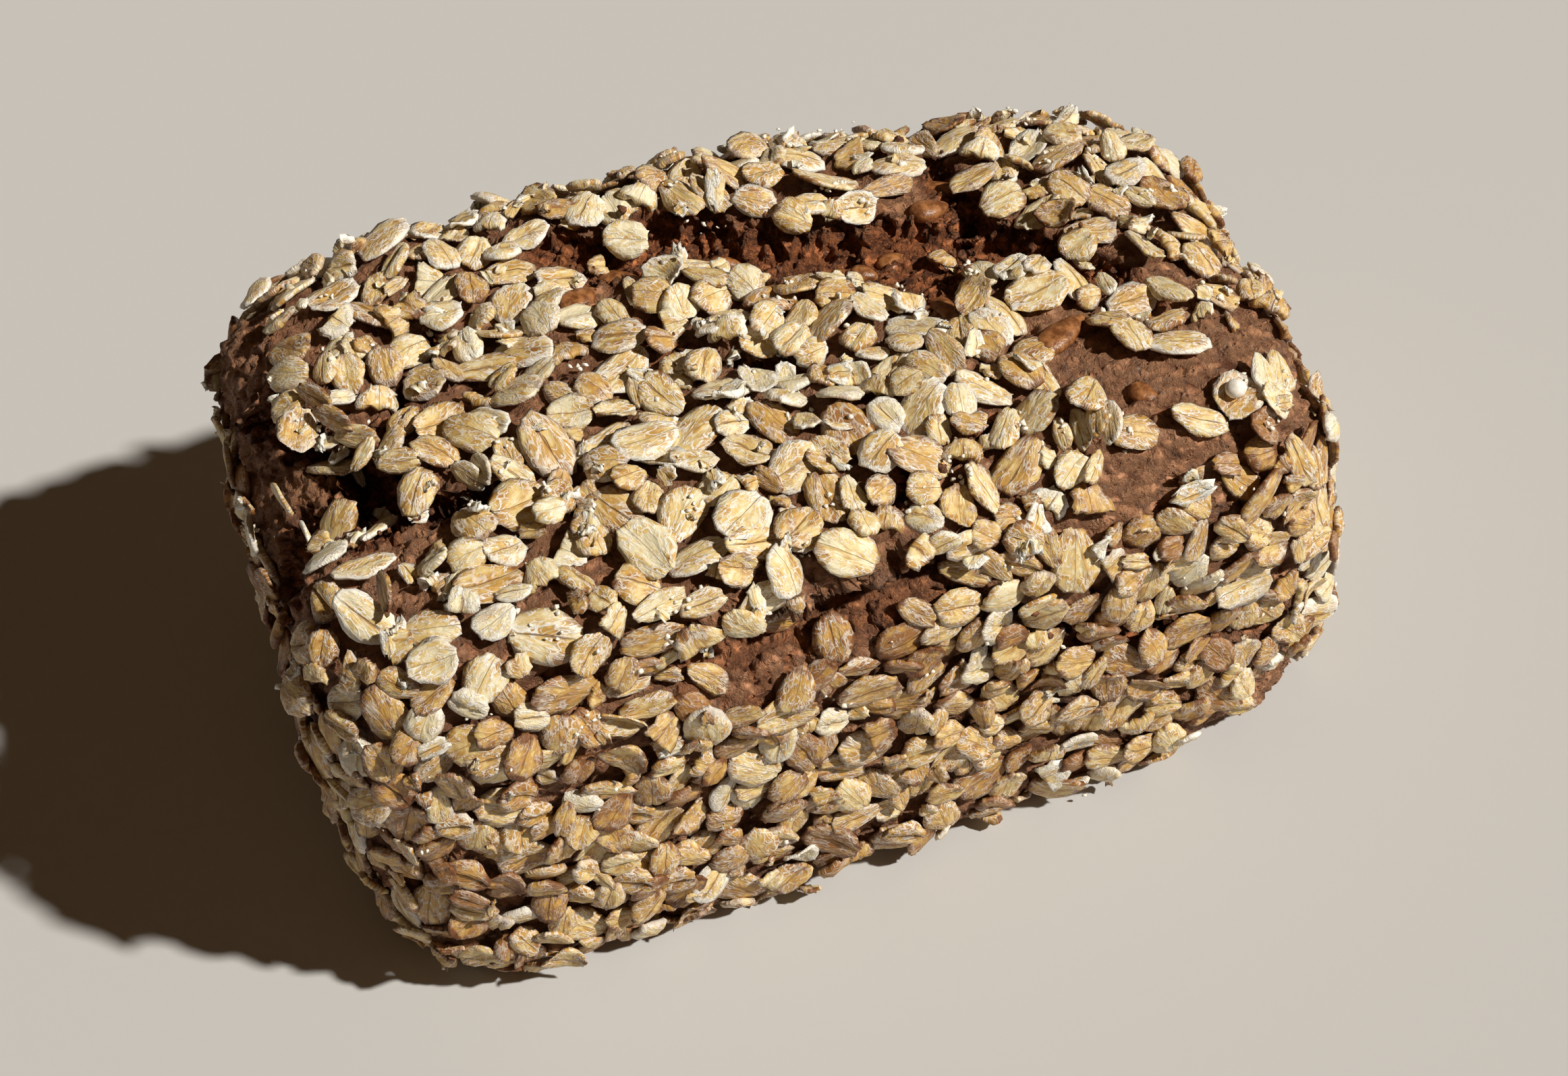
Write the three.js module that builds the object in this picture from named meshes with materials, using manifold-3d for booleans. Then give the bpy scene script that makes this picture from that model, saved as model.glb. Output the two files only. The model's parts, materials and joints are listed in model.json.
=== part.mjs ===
import * as THREE from 'three';
import Module from 'manifold-3d';

// Driving dimensions, mm. The loaf lies along X, its front is -Y and its top +Z.
const halfLength = 80.6;
const halfWidth = 48.4;
const heightMid = 77.0;
const shoulderZ = 35.0;
const planPower = 6.07;
const topPower = 5.8;
const footPower = 9.7;
const footFlare = 0.018;
const lengthSlope = -0.062;
const widthSlope = -0.036;
const cornerDrop = 7.5;
const footTrim = 0.9;

const cellsLong = 20;
const cellsWide = 12;
const cellsHigh = 10;

const flakeSpacing = 14.4;
const flakeLimit = 180;
const flakeTries = 9000;
const flakeLong = 10.4;
const flakeWide = 7.6;
const flakeThick = 4.0;
const flakeRise = 1.15;
const flakeSides = 7;
const flakeSeed = 20406;

// Raised or sunk places of the crust: x, y, z, radius, height.
const lumps = [
  [-66, 20, 79, 17, 2.8],
  [-77, 36, 71, 9, 2.4],
  [-62, -34, 79, 14, 1.2],
  [-20, 2, 79, 26, 1.2],
  [26, -22, 77, 22, 1.0],
  [62, 22, 70, 17, 1.4],
  [44, -47, 54, 20, 1.3],
  [66, -30, 66, 15, 1.2],
  [80, 4, 40, 26, 1.2],
  [-80, 2, 34, 24, -1.4],
  [0, 48, 40, 34, 0.8],
  [48, -38, 72, 11, -1.6],
  [70, -44, 10, 12, -1.0],
];

// Long swellings and hollows: half width, height, then points on the crust.
const ridges = [
  [5.5, -2.9, [-40, -48, 68], [-24, -48, 65], [-10, -48, 64], [2, -48, 66], [14, -48, 67]],
  [4.5, 1.7, [-44, -45, 76], [-24, -46, 75], [-6, -46, 74], [14, -46, 74]],
  [7.0, 1.5, [-24, 41, 77], [-8, 34, 78], [10, 28, 78], [24, 26, 77]],
  [5.0, 1.2, [-72, -44, 66], [-40, -49, 56], [-10, -49, 54], [12, -49, 60]],
];

// Tears, cut as wedges: each point is x, y, z, half width, depth.
const tears = [
  [
    [-31, 34, 79, 0.8, 1.5], [-24, 33, 79.5, 3.0, 4.0], [-15, 26, 79.2, 4.2, 6.0],
    [-4, 24, 79, 5.0, 6.5], [7, 18, 78.5, 4.6, 6.5], [18, 14.5, 78, 6.0, 6.0],
    [29, 10.5, 77, 8.2, 5.0], [40, 10.5, 76, 6.2, 5.5], [48, 2.5, 75.5, 4.0, 5.0],
    [57, -6, 74.5, 2.4, 3.0], [62, -12, 74, 0.6, 1.2],
  ],
  [
    [37, 11, 76.5, 3.4, 3.5], [43, 21, 76, 3.8, 5.0], [41, 32, 75.5, 3.4, 4.6],
    [38, 40, 74, 2.8, 3.4], [37, 47, 67, 1.4, 2.0],
  ],
  [
    [-80.5, 23, 68, 1.6, 2.0], [-76, 17, 77, 4.2, 5.0], [-68, 5, 79.7, 6.2, 9.0],
    [-61, -7, 81, 6.0, 10.0], [-52, -16.5, 81, 4.2, 7.5], [-44, -18.5, 81.2, 2.8, 5.0],
    [-33, -25, 80.5, 1.8, 3.2], [-25, -29, 80, 0.6, 1.2],
  ],
  [
    [-43, 24, 81, 0.8, 2.0], [-46, 16, 81.2, 2.0, 4.0], [-52.5, 8, 81.3, 2.1, 4.5],
    [-58, -3, 81, 2.4, 6.0],
  ],
  [
    [-17, 7, 79.6, 0.6, 1.2], [-10, -2, 79.2, 1.7, 2.6], [2, -9, 78.6, 1.7, 2.6],
    [9, -14, 78, 0.6, 1.0],
  ],
  [
    [7, -41, 75, 0.8, 1.5], [15, -36, 76.5, 2.2, 3.2], [23, -33.5, 76.6, 1.9, 3.0],
    [31, -30, 76.4, 0.6, 1.0],
  ],
  [
    [14, -49, 62, 0.7, 1.2], [25, -49, 54, 1.6, 2.2], [35, -49, 41, 2.0, 2.8],
    [46, -48.6, 38.5, 2.2, 3.0], [57, -47.6, 34, 2.2, 3.0], [66, -45.5, 28, 1.0, 1.6],
  ],
  [
    [-34, 50, 62, 0.8, 1.4], [-18, 50, 59, 2.0, 2.6], [2, 50, 61, 2.0, 2.8],
    [20, 49.5, 57, 0.8, 1.4],
  ],
];

// Places with no flakes: x, y, z, radius.
const barePlaces = [
  [50, -39, 73, 10], [43, -46, 67, 6], [58, -46, 63, 6], [70, -44, 9, 10],
  [-77, 31, 72, 9], [-24, -48, 67, 9], [-8, -48, 66, 9], [4, -48, 68, 7],
  [34, 14, 77, 11], [56, -46, 6, 8],
];

// Pumpkin seeds: x, y, z, spin in degrees, length, width, thickness.
const seeds = [
  [37, 27, 76, 20, 15.5, 8.0, 4.6],
  [-15.5, 19.5, 79.5, 35, 12.0, 7.4, 4.0],
  [45, -15.5, 75.8, 40, 14.0, 7.8, 4.0],
  [29, -2, 77, 110, 11.0, 6.4, 4.4],
  [-10, -50, 63, 15, 13.0, 7.0, 3.4],
];

function clamp(value, low, high) {
  return Math.min(high, Math.max(low, value));
}

function smooth(low, high, value) {
  const t = clamp((value - low) / (high - low), 0, 1);
  return t * t * (3 - 2 * t);
}

// The even crust under all relief, for a point c on a cube of half side 1.
function skin(c) {
  const power = c.z > 0 ? topPower : footPower;
  const plan = Math.abs(c.x) ** planPower + Math.abs(c.y) ** planPower;
  const reach = (plan ** (power / planPower) + Math.abs(c.z) ** power) ** (1 / power);
  const n = c.clone().divideScalar(reach);
  let z = n.z > 0 ? shoulderZ + n.z * (heightMid - shoulderZ) : shoulderZ * (1 + n.z);
  const taper = 1 - footFlare * clamp(1 - z / shoulderZ, 0, 1);
  const x = halfLength * n.x * taper;
  const y = halfWidth * n.y * taper * (1 + widthSlope * n.x);
  z *= 1 + lengthSlope * n.x;
  z -= cornerDrop * smooth(-0.1, 1, n.x) * smooth(-0.3, 1, n.y) * smooth(0.1, 1, n.z);
  return new THREE.Vector3(x, y, z);
}

// Outward direction of the even crust at c, from two small steps on the cube face.
function outward(c) {
  const big = Math.max(Math.abs(c.x), Math.abs(c.y), Math.abs(c.z));
  const axis = Math.abs(c.x) === big ? 0 : Math.abs(c.y) === big ? 1 : 2;
  const step = 0.02;
  const walk = (index) => {
    const a = c.clone();
    const b = c.clone();
    a.setComponent(index, clamp(c.getComponent(index) - step, -1, 1));
    b.setComponent(index, clamp(c.getComponent(index) + step, -1, 1));
    return skin(b).sub(skin(a));
  };
  const n = walk((axis + 1) % 3).cross(walk((axis + 2) % 3)).normalize();
  return c.getComponent(axis) < 0 ? n.negate() : n;
}

// Distance across the crust from p to a line of points, and the place along that line.
function lineGap(p, n, line) {
  let best = { gap: Infinity, leg: 0, part: 0 };
  for (let i = 0; i + 1 < line.length; i += 1) {
    const a = new THREE.Vector3(...line[i].slice(0, 3));
    const b = new THREE.Vector3(...line[i + 1].slice(0, 3));
    const along = b.clone().sub(a);
    const part = clamp(p.clone().sub(a).dot(along) / along.lengthSq(), 0, 1);
    const off = p.clone().sub(a.addScaledVector(along, part));
    const rise = off.dot(n);
    const across = off.addScaledVector(n, -rise).length();
    const gap = Math.hypot(across, Math.max(0, Math.abs(rise) - 8));
    if (gap < best.gap) {
      best = { gap, leg: i, part };
    }
  }
  return best;
}

function relief(p, n) {
  let lift = 0;
  for (const [x, y, z, radius, height] of lumps) {
    const far = Math.hypot(p.x - x, p.y - y, p.z - z) / radius;
    lift += height * Math.exp(-1.6 * far * far);
  }
  for (const [half, height, ...line] of ridges) {
    const far = lineGap(p, n, line).gap / half;
    lift += height * Math.exp(-1.2 * far * far);
  }
  lift += 0.55 * Math.sin(p.x / 7.3 + 1.1) * Math.sin(p.y / 6.1 + p.z / 8.9 + 0.4);
  lift += 0.35 * Math.sin(p.x / 4.1 - p.z / 5.3) * Math.sin(p.y / 4.7 + p.z / 3.9 + 2.0);
  return lift * smooth(0, 9, p.z);
}

function crust(c) {
  const n = outward(c);
  const p = skin(c);
  return p.addScaledVector(n, relief(p, n));
}

function isBare(p, n) {
  for (const [x, y, z, radius] of barePlaces) {
    if (Math.hypot(p.x - x, p.y - y, p.z - z) < radius) {
      return true;
    }
  }
  for (const line of tears) {
    const { gap, leg, part } = lineGap(p, n, line);
    const half = line[leg][3] * (1 - part) + line[leg + 1][3] * part;
    if (gap < half + 3.4) {
      return true;
    }
  }
  return false;
}

const wasm = await Module();
wasm.setup();

// A closed solid from a three.js geometry, its doubled corner points merged.
function solidOf(geometry) {
  const position = geometry.attributes.position;
  const found = new Map();
  const points = [];
  const slots = [];
  for (let i = 0; i < position.count; i += 1) {
    const spot = [position.getX(i), position.getY(i), position.getZ(i)];
    const key = spot.map((value) => Math.round(value * 1e4)).join(',');
    if (!found.has(key)) {
      found.set(key, points.length / 3);
      points.push(...spot);
    }
    slots.push(found.get(key));
  }
  const corners = [];
  for (let i = 0; i < geometry.index.count; i += 3) {
    const face = [0, 1, 2].map((k) => slots[geometry.index.getX(i + k)]);
    if (new Set(face).size === 3) {
      corners.push(...face);
    }
  }
  return new wasm.Manifold(new wasm.Mesh({
    numProp: 3,
    vertProperties: new Float32Array(points),
    triVerts: new Uint32Array(corners),
  }));
}

function mapPoints(geometry, change) {
  const position = geometry.attributes.position;
  const v = new THREE.Vector3();
  for (let i = 0; i < position.count; i += 1) {
    v.fromBufferAttribute(position, i);
    const to = change(v);
    position.setXYZ(i, to.x, to.y, to.z);
  }
  return geometry;
}

function bodySolid() {
  const box = new THREE.BoxGeometry(2, 2, 2, cellsLong, cellsWide, cellsHigh);
  return solidOf(mapPoints(box, crust));
}

// A wedge along one tear: open above the crust, narrow and slightly undercut below it.
function tearSolid(line) {
  const last = line.length - 1;
  const rod = new THREE.CylinderGeometry(1, 1, last, 6, last);
  return solidOf(mapPoints(rod, (v) => {
    const i = Math.round(v.y + last / 2);
    const [x, y, z, half, depth] = line[i];
    const a = new THREE.Vector3(...line[Math.max(0, i - 1)].slice(0, 3));
    const b = new THREE.Vector3(...line[Math.min(last, i + 1)].slice(0, 3));
    const along = b.sub(a).normalize();
    const n = outwardNear(new THREE.Vector3(x, y, z));
    n.addScaledVector(along, -n.dot(along)).normalize();
    const across = along.clone().cross(n);
    const level = new THREE.Vector3(x, y, z).addScaledVector(n, liftNear(x, y, z));
    if (Math.hypot(v.x, v.z) < 0.01) {
      return level;
    }
    const turn = Math.round(Math.atan2(v.x, v.z) / (Math.PI / 3));
    const side = [0, 1, 0.75, 0, -0.75, -1][(turn + 6) % 6];
    const drop = [4, 2.5, -0.55 * depth, -depth, -0.55 * depth, 2.5][(turn + 6) % 6];
    return level.addScaledVector(across, side * half).addScaledVector(n, drop);
  }));
}

// Points all over the cube, used to find the crust nearest to a given place.
const probes = [];
for (let i = 0; i <= 40; i += 1) {
  for (let j = 0; j <= 40; j += 1) {
    const u = i / 20 - 1;
    const v = j / 20 - 1;
    for (const side of [-1, 1]) {
      probes.push(new THREE.Vector3(side, u, v));
      probes.push(new THREE.Vector3(u, side, v));
      probes.push(new THREE.Vector3(u, v, side));
    }
  }
}
const probeSpots = probes.map(skin);

function nearestProbe(spot) {
  let best = 0;
  for (let i = 1; i < probes.length; i += 1) {
    if (probeSpots[i].distanceToSquared(spot) < probeSpots[best].distanceToSquared(spot)) {
      best = i;
    }
  }
  return probes[best];
}

function outwardNear(spot) {
  return outward(nearestProbe(spot));
}

// Height of the real crust over a listed point, along the outward direction.
function liftNear(x, y, z) {
  const spot = new THREE.Vector3(x, y, z);
  const c = nearestProbe(spot);
  const n = outward(c);
  return skin(c).sub(spot).dot(n) + relief(skin(c), n);
}

// A turned frame on the crust: its Y axis is the outward direction, leaned by tilt.
function stand(spot, n, spin, tilt, sink) {
  const turn = new THREE.Quaternion().setFromUnitVectors(new THREE.Vector3(0, 1, 0), n);
  turn.multiply(new THREE.Quaternion().setFromAxisAngle(new THREE.Vector3(0, 1, 0), spin));
  turn.multiply(new THREE.Quaternion().setFromAxisAngle(new THREE.Vector3(1, 0, 0), tilt));
  const place = spot.clone().addScaledVector(n, sink);
  return new THREE.Matrix4().compose(place, turn, new THREE.Vector3(1, 1, 1));
}

function flakeSolid(flake) {
  const rod = new THREE.CylinderGeometry(0.8, 1, 1, flakeSides, 1);
  rod.scale(flake.long / 2, flakeThick, flake.wide / 2);
  const sink = flakeRise - flakeThick / 2;
  rod.applyMatrix4(stand(flake.spot, flake.n, flake.spin, flake.tilt, sink));
  return solidOf(rod);
}

function seedSolid([x, y, z, spin, long, wide, thick]) {
  const ball = new THREE.SphereGeometry(1, 8, 5);
  ball.scale(long / 2, thick / 2, wide / 2);
  const spot = new THREE.Vector3(x, y, z);
  const n = outwardNear(spot);
  spot.addScaledVector(n, liftNear(x, y, z));
  ball.applyMatrix4(stand(spot, n, THREE.MathUtils.degToRad(spin), 0, -0.9));
  return solidOf(ball);
}

// Seeded draws spread over the five open sides, kept apart by the flake spacing.
function flakePlaces() {
  let state = flakeSeed;
  const draw = () => {
    state = (state * 48271) % 2147483647;
    return state / 2147483647;
  };
  const placed = [];
  for (let i = 0; i < flakeTries && placed.length < flakeLimit; i += 1) {
    const side = draw();
    const u = draw() * 2 - 1;
    const v = draw() * 2 - 1;
    const spin = draw() * Math.PI;
    const size = draw();
    const tilt = (draw() - 0.5) * 0.2;
    let c = new THREE.Vector3(u, v, 1);
    if (side > 0.30) {
      c = new THREE.Vector3(u, -1, v);
    }
    if (side > 0.53) {
      c = new THREE.Vector3(u, 1, v);
    }
    if (side > 0.76) {
      c = new THREE.Vector3(side > 0.88 ? 1 : -1, u, v);
    }
    const p = skin(c);
    const n = outward(c);
    if (p.z < 5.5 || isBare(p, n)) {
      continue;
    }
    if (placed.some((other) => other.base.distanceTo(p) < flakeSpacing)) {
      continue;
    }
    placed.push({
      base: p,
      spot: p.clone().addScaledVector(n, relief(p, n)),
      n,
      spin,
      tilt,
      long: flakeLong * (0.9 + 0.2 * size),
      wide: flakeWide * (0.92 + 0.16 * size),
    });
  }
  return placed;
}

function loafSolid() {
  let loaf = bodySolid();
  const floor = new THREE.BoxGeometry(400, 400, 40);
  floor.translate(0, 0, footTrim - 20);
  loaf = loaf.subtract(solidOf(floor));
  for (const line of tears) {
    loaf = loaf.subtract(tearSolid(line));
  }
  for (const flake of flakePlaces()) {
    loaf = loaf.add(flakeSolid(flake));
  }
  for (const seed of seeds) {
    loaf = loaf.add(seedSolid(seed));
  }
  return loaf;
}

function geometryOf(solid) {
  const mesh = solid.getMesh();
  const geometry = new THREE.BufferGeometry();
  const points = new Float32Array(mesh.vertProperties);
  geometry.setAttribute('position', new THREE.BufferAttribute(points, 3));
  geometry.setIndex(new THREE.BufferAttribute(new Uint32Array(mesh.triVerts), 1));
  return geometry;
}

const shape = geometryOf(loafSolid().simplify(0.02));
shape.computeBoundingBox();
const middle = shape.boundingBox.getCenter(new THREE.Vector3());
shape.translate(-middle.x, -middle.y, -shape.boundingBox.min.z);
shape.computeVertexNormals();

const loaf = new THREE.Mesh(shape, new THREE.MeshStandardMaterial({
  color: 0x8a6a48,
  roughness: 0.85,
  metalness: 0,
}));
loaf.name = 'loaf';

const part = new THREE.Group();
part.name = 'rye_bread_loaf';
part.add(loaf);

export default part;
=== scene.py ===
import json
import math

import bmesh
import bpy
import numpy as np
from mathutils import Matrix, Vector, noise

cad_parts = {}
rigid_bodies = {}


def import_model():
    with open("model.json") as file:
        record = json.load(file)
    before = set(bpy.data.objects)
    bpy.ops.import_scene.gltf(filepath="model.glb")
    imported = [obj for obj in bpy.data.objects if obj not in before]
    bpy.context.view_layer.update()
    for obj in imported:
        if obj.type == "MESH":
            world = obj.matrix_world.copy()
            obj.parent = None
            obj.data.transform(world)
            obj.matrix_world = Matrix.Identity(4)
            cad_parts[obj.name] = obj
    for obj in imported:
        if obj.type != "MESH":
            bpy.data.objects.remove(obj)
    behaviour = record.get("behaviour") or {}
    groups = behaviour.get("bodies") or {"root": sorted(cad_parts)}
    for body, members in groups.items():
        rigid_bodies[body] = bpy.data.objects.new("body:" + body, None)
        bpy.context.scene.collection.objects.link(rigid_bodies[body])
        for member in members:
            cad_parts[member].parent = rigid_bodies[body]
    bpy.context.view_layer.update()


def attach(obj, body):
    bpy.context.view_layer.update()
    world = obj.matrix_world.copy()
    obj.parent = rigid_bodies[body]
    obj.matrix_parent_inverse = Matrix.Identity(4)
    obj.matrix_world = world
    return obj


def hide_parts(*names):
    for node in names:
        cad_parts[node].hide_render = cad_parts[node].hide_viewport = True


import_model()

noise.seed_set(1)  # otherwise the noise vectors change with the time of the run
metre = 0.001  # one millimetre, the unit of every size below

# The form of the loaf, in millimetres, about its own centre.
loafForm = {
    "halfLength": 80.6, "halfWidth": 48.4, "heightMid": 77.0, "shoulderZ": 35.0,
    "planPower": 6.07, "topPower": 5.8, "footPower": 9.7, "footFlare": 0.018,
    "lengthSlope": -0.062, "widthSlope": -0.036, "cornerDrop": 7.5, "footTrim": 0.9,
    "shift": (-0.5497, 0.1761, -0.9),  # from the form's own centre to the row frame
    "cells": (150, 94, 76),
}
lumps = [  # x, y, z, radius, height
    (-66, 20, 79, 17, 2.8), (-77, 36, 71, 9, 2.4), (-62, -34, 79, 14, 1.2), (-20, 2, 79, 26, 1.2),
    (26, -22, 77, 22, 1.0), (62, 22, 70, 17, 1.4), (44, -47, 54, 20, 1.3), (66, -30, 66, 15, 1.2),
    (80, 4, 40, 26, 1.2), (-80, 2, 34, 24, -1.4), (0, 48, 40, 34, 0.8), (48, -38, 72, 11, -1.6),
    (70, -44, 10, 12, -1.0),
]
ridges = [  # half width, height, then points along it
    (5.5, -2.9, [(-40, -48, 68), (-24, -48, 65), (-10, -48, 64), (2, -48, 66), (14, -48, 67)]),
    (4.5, 1.7, [(-44, -45, 76), (-24, -46, 75), (-6, -46, 74), (14, -46, 74)]),
    (7.0, 1.5, [(-24, 41, 77), (-8, 34, 78), (10, 28, 78), (24, 26, 77)]),
    (5.0, 1.2, [(-72, -44, 66), (-40, -49, 56), (-10, -49, 54), (12, -49, 60)]),
]
tears = [  # points x, y, z, half width, depth; then overhang, the higher side, reach to it and away
    ([(-31, 34, 79, 0.8, 1.5), (-24, 33, 79.5, 3.0, 3.0), (-15, 26, 79.2, 4.2, 4.2),
      (-4, 24, 79, 5.0, 4.6), (7, 18, 78.5, 4.6, 4.6), (18, 14.5, 78, 6.0, 4.4),
      (29, 10.5, 77, 8.2, 4.0), (40, 10.5, 76, 6.2, 4.2), (48, 2.5, 75.5, 4.0, 4.0),
      (57, -6, 74.5, 2.4, 2.6), (62, -12, 74, 0.6, 1.2)], 0.9, (0, 1, 0), (1.20, 2.1)),
    ([(37, 11, 76.5, 3.4, 3.0), (43, 21, 76, 3.8, 3.8), (41, 32, 75.5, 3.4, 3.8),
      (38, 40, 74, 2.8, 3.2), (37, 47, 67, 1.4, 2.0)], 0.7, (1, 0, 0), (0.75, 1.3)),
    ([(-80.5, 23, 68, 1.6, 2.0), (-76, 17, 77, 4.2, 5.0), (-68, 5, 79.7, 6.2, 9.0),
      (-61, -7, 81, 6.0, 10.0), (-52, -16.5, 81, 4.2, 7.5), (-44, -18.5, 81.2, 2.8, 5.0),
      (-33, -25, 80.5, 1.8, 3.2), (-25, -29, 80, 0.6, 1.2)], 3.2, (0.5, 0.86, 0), (0.80, 0.95)),
    ([(-43, 24, 81, 0.8, 2.0), (-46, 16, 81.2, 2.0, 4.0), (-52.5, 8, 81.3, 2.1, 4.5),
      (-58, -3, 81, 2.4, 6.0)], 0.8, (1, 0, 0), (0.6, 0.9)),
    ([(-17, 7, 79.6, 0.6, 1.2), (-10, -2, 79.2, 1.7, 2.6), (2, -9, 78.6, 1.7, 2.6),
      (9, -14, 78, 0.6, 1.0)], 0.6, (0.5, 0.8, 0), (0.9, 1.3)),
    ([(7, -41, 75, 0.8, 1.5), (15, -36, 76.5, 2.2, 3.2), (23, -33.5, 76.6, 1.9, 3.0),
      (31, -30, 76.4, 0.6, 1.0)], 0.6, (0.5, -0.8, 0), (0.9, 1.3)),
    ([(14, -49, 62, 0.7, 1.2), (25, -49, 54, 1.6, 2.2), (35, -49, 41, 2.0, 2.8),
      (46, -48.6, 38.5, 2.2, 3.0), (57, -47.6, 34, 2.2, 3.0), (66, -45.5, 28, 1.0, 1.6)],
     0.9, (0, 0, 1), (0.85, 1.35)),
    ([(-34, 50, 62, 0.8, 1.4), (-18, 50, 59, 2.0, 2.6), (2, 50, 61, 2.0, 2.8),
      (20, 49.5, 57, 0.8, 1.4)], 0.7, (0, 0, 1), (0.85, 1.35)),
]
splits = [  # shallower and wider than the tears, and last how crumbly they are
    ([(-34, -49, 66, 0.8, 0.6), (-27, -49, 66, 4.5, 1.6), (-16, -49, 65.5, 8.0, 2.6), (-3, -49, 67, 7.5, 3.2),
      (7, -48.5, 68.5, 6.0, 3.0), (13, -48, 69, 5.0, 2.4), (20, -47, 71, 0.8, 0.6)],
     2.4, (0, 0, 1), (0.8, 1.25), 0.6),
    ([(-82, -10, 56, 3.0, 2.0), (-78, -9, 72, 6.5, 5.0), (-72, -9, 79, 8.0, 6.5), (-65, -11, 80, 7.5, 6.5),
      (-57, -14, 81, 5.0, 5.0), (-50, -18, 81, 2.0, 2.5)], 0.0, (0.3, 0.9, 0), (1.0, 1.0), 1.0),
]
swells = [  # finer ups and downs of the crust: x, y, z, radius, height
    (-74, -2, 77, 15, -3.6), (-60, -24, 80, 11, -2.2), (-75, 12, 76, 9, -2.8), (-78, 31, 74, 7, 1.6),
    (73, 24, 69, 8, 3.2), (68, 30, 70, 8, 1.8), (0, 38, 76, 9, 1.8), (14, 39, 76, 10, 2.6),
    (27, 36, 75, 9, 2.0), (-46, 40, 77, 11, 1.8), (70, -44, 12, 16, 1.8), (66, -45, 26, 12, 1.0),
]
openPlaces = [  # crust that hardly carries a flake: x, y, z, radius
    (50, -39, 73, 9), (44, -45, 68, 6), (59, -45, 64, 5), (70, -44, 9, 10), (56, -46, 6, 8),
    (-77, 31, 72, 10), (34, 14, 77, 10), (-73, -4, 78, 11), (-62, -20, 80, 9), (-77, 12, 72, 9),
    (-66, -27, 79, 8), (-78, 20, 72, 9), (-79, -4, 72, 10), (-79, -20, 70, 8), (60, -30, 74, 9),
    (62, -12, 74, 7), (45, -25, 76, 8), (57, -40, 70, 8), (-15, 19, 79.5, 5), (-22, 15, 80, 4.5),
    (45, -15.5, 76, 6.5), (40, 28, 76, 7.5), (30, -4, 77, 5.5), (-50.6, -50, 49, 4), (-32, -50, 29, 4.5),
    (-22, -50, 27, 5), (-24, -50, 51, 3.5), (-69, -47, 34, 3.5), (-66, -48, 17, 4.5), (-3.5, -49, 13, 5),
    (11.5, -49, 10, 4.5), (21.5, -48, 10, 4), (63, -46, 11, 4), (-21, -49, 65, 5.5), (-13, -49, 66, 7),
    (-5, -49, 67, 7), (3, -48.5, 68, 7), (10, -48, 68.5, 6), (-18, -50, 60, 6), (-2, -49, 62, 6),
    (8, -49, 64, 5), (-10, -50, 61, 5), (-45, -44, 77, 4), (66, -10, 73, 6), (71, -24, 70, 7),
    (77, -8, 68, 7), (79, -17, 58, 7), (74, -36, 62, 7), (70, 6, 72, 6), (65, 13, 73, 4), (79, 4, 60, 6),
    (78, -28, 60, 6), (57, -3, 75, 5), (68, 12, 73, 5), (-72, 20, 79, 5), (-60, -12, 81, 5),
    (38, 24, 76, 7), (45, 26, 76, 6), (33, 19, 76, 5),
]
barePlaces = [  # x, y, z, radius
    (50, -39, 73, 10), (43, -46, 67, 6), (58, -46, 63, 6), (70, -44, 9, 10), (-77, 31, 72, 9),
    (-24, -48, 67, 9), (-8, -48, 66, 9), (4, -48, 68, 7), (34, 14, 77, 11), (56, -46, 6, 8),
]


def smooth(low, high, value):
    t = np.clip((value - low) / (high - low), 0, 1)
    return t * t * (3 - 2 * t)


def unit(v):
    return v / (np.linalg.norm(v, axis=-1, keepdims=True) + 1e-12)


# The even crust for points c on a cube of half side 1, in millimetres.
def skin(c):
    f = loafForm
    power = np.where(c[:, 2] > 0, f["topPower"], f["footPower"])
    plan = np.abs(c[:, 0]) ** f["planPower"] + np.abs(c[:, 1]) ** f["planPower"]
    reach = (plan ** (power / f["planPower"]) + np.abs(c[:, 2]) ** power) ** (1 / power)
    n = c / reach[:, None]
    shoulder = f["shoulderZ"]
    z = np.where(n[:, 2] > 0, shoulder + n[:, 2] * (f["heightMid"] - shoulder), shoulder * (1 + n[:, 2]))
    taper = 1 - f["footFlare"] * np.clip(1 - z / shoulder, 0, 1)
    x = f["halfLength"] * n[:, 0] * taper
    y = f["halfWidth"] * n[:, 1] * taper * (1 + f["widthSlope"] * n[:, 0])
    z = z * (1 + f["lengthSlope"] * n[:, 0])
    z = z - f["cornerDrop"] * smooth(-0.1, 1, n[:, 0]) * smooth(-0.3, 1, n[:, 1]) * smooth(0.1, 1, n[:, 2])
    return np.stack([x, y, z], -1)


def outward(c):
    size = np.abs(c)
    axis = np.where(size[:, 0] >= 1, 0, np.where(size[:, 1] >= 1, 1, 2))
    rows = np.arange(len(c))

    def walk(turn):
        index = (axis + turn) % 3
        a, b = c.copy(), c.copy()
        a[rows, index] = np.clip(c[rows, index] - 0.02, -1, 1)
        b[rows, index] = np.clip(c[rows, index] + 0.02, -1, 1)
        return skin(b) - skin(a)

    n = unit(np.cross(walk(1), walk(2)))
    return n * np.sign(c[rows, axis])[:, None]


# Distance across the crust from p to a line of points: gap, leg, part along it, way to it.
def lineGap(p, n, line):
    line = np.array([q[:3] for q in line], float)
    best = np.full(len(p), 1e9)
    leg = np.zeros(len(p), int)
    part = np.zeros(len(p))
    way = np.zeros_like(p)
    for i in range(len(line) - 1):
        along = line[i + 1] - line[i]
        t = np.clip((p - line[i]) @ along / (along @ along), 0, 1)
        off = p - line[i] - t[:, None] * along
        rise = (off * n).sum(1)
        flat = off - rise[:, None] * n
        across = np.linalg.norm(flat, axis=1)
        gap = np.hypot(across, np.maximum(0, np.abs(rise) - 8))
        closer = gap < best
        best = np.where(closer, gap, best)
        leg = np.where(closer, i, leg)
        part = np.where(closer, t, part)
        way = np.where(closer[:, None], -flat / (across[:, None] + 1e-9), way)
    return best, leg, part, way


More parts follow.
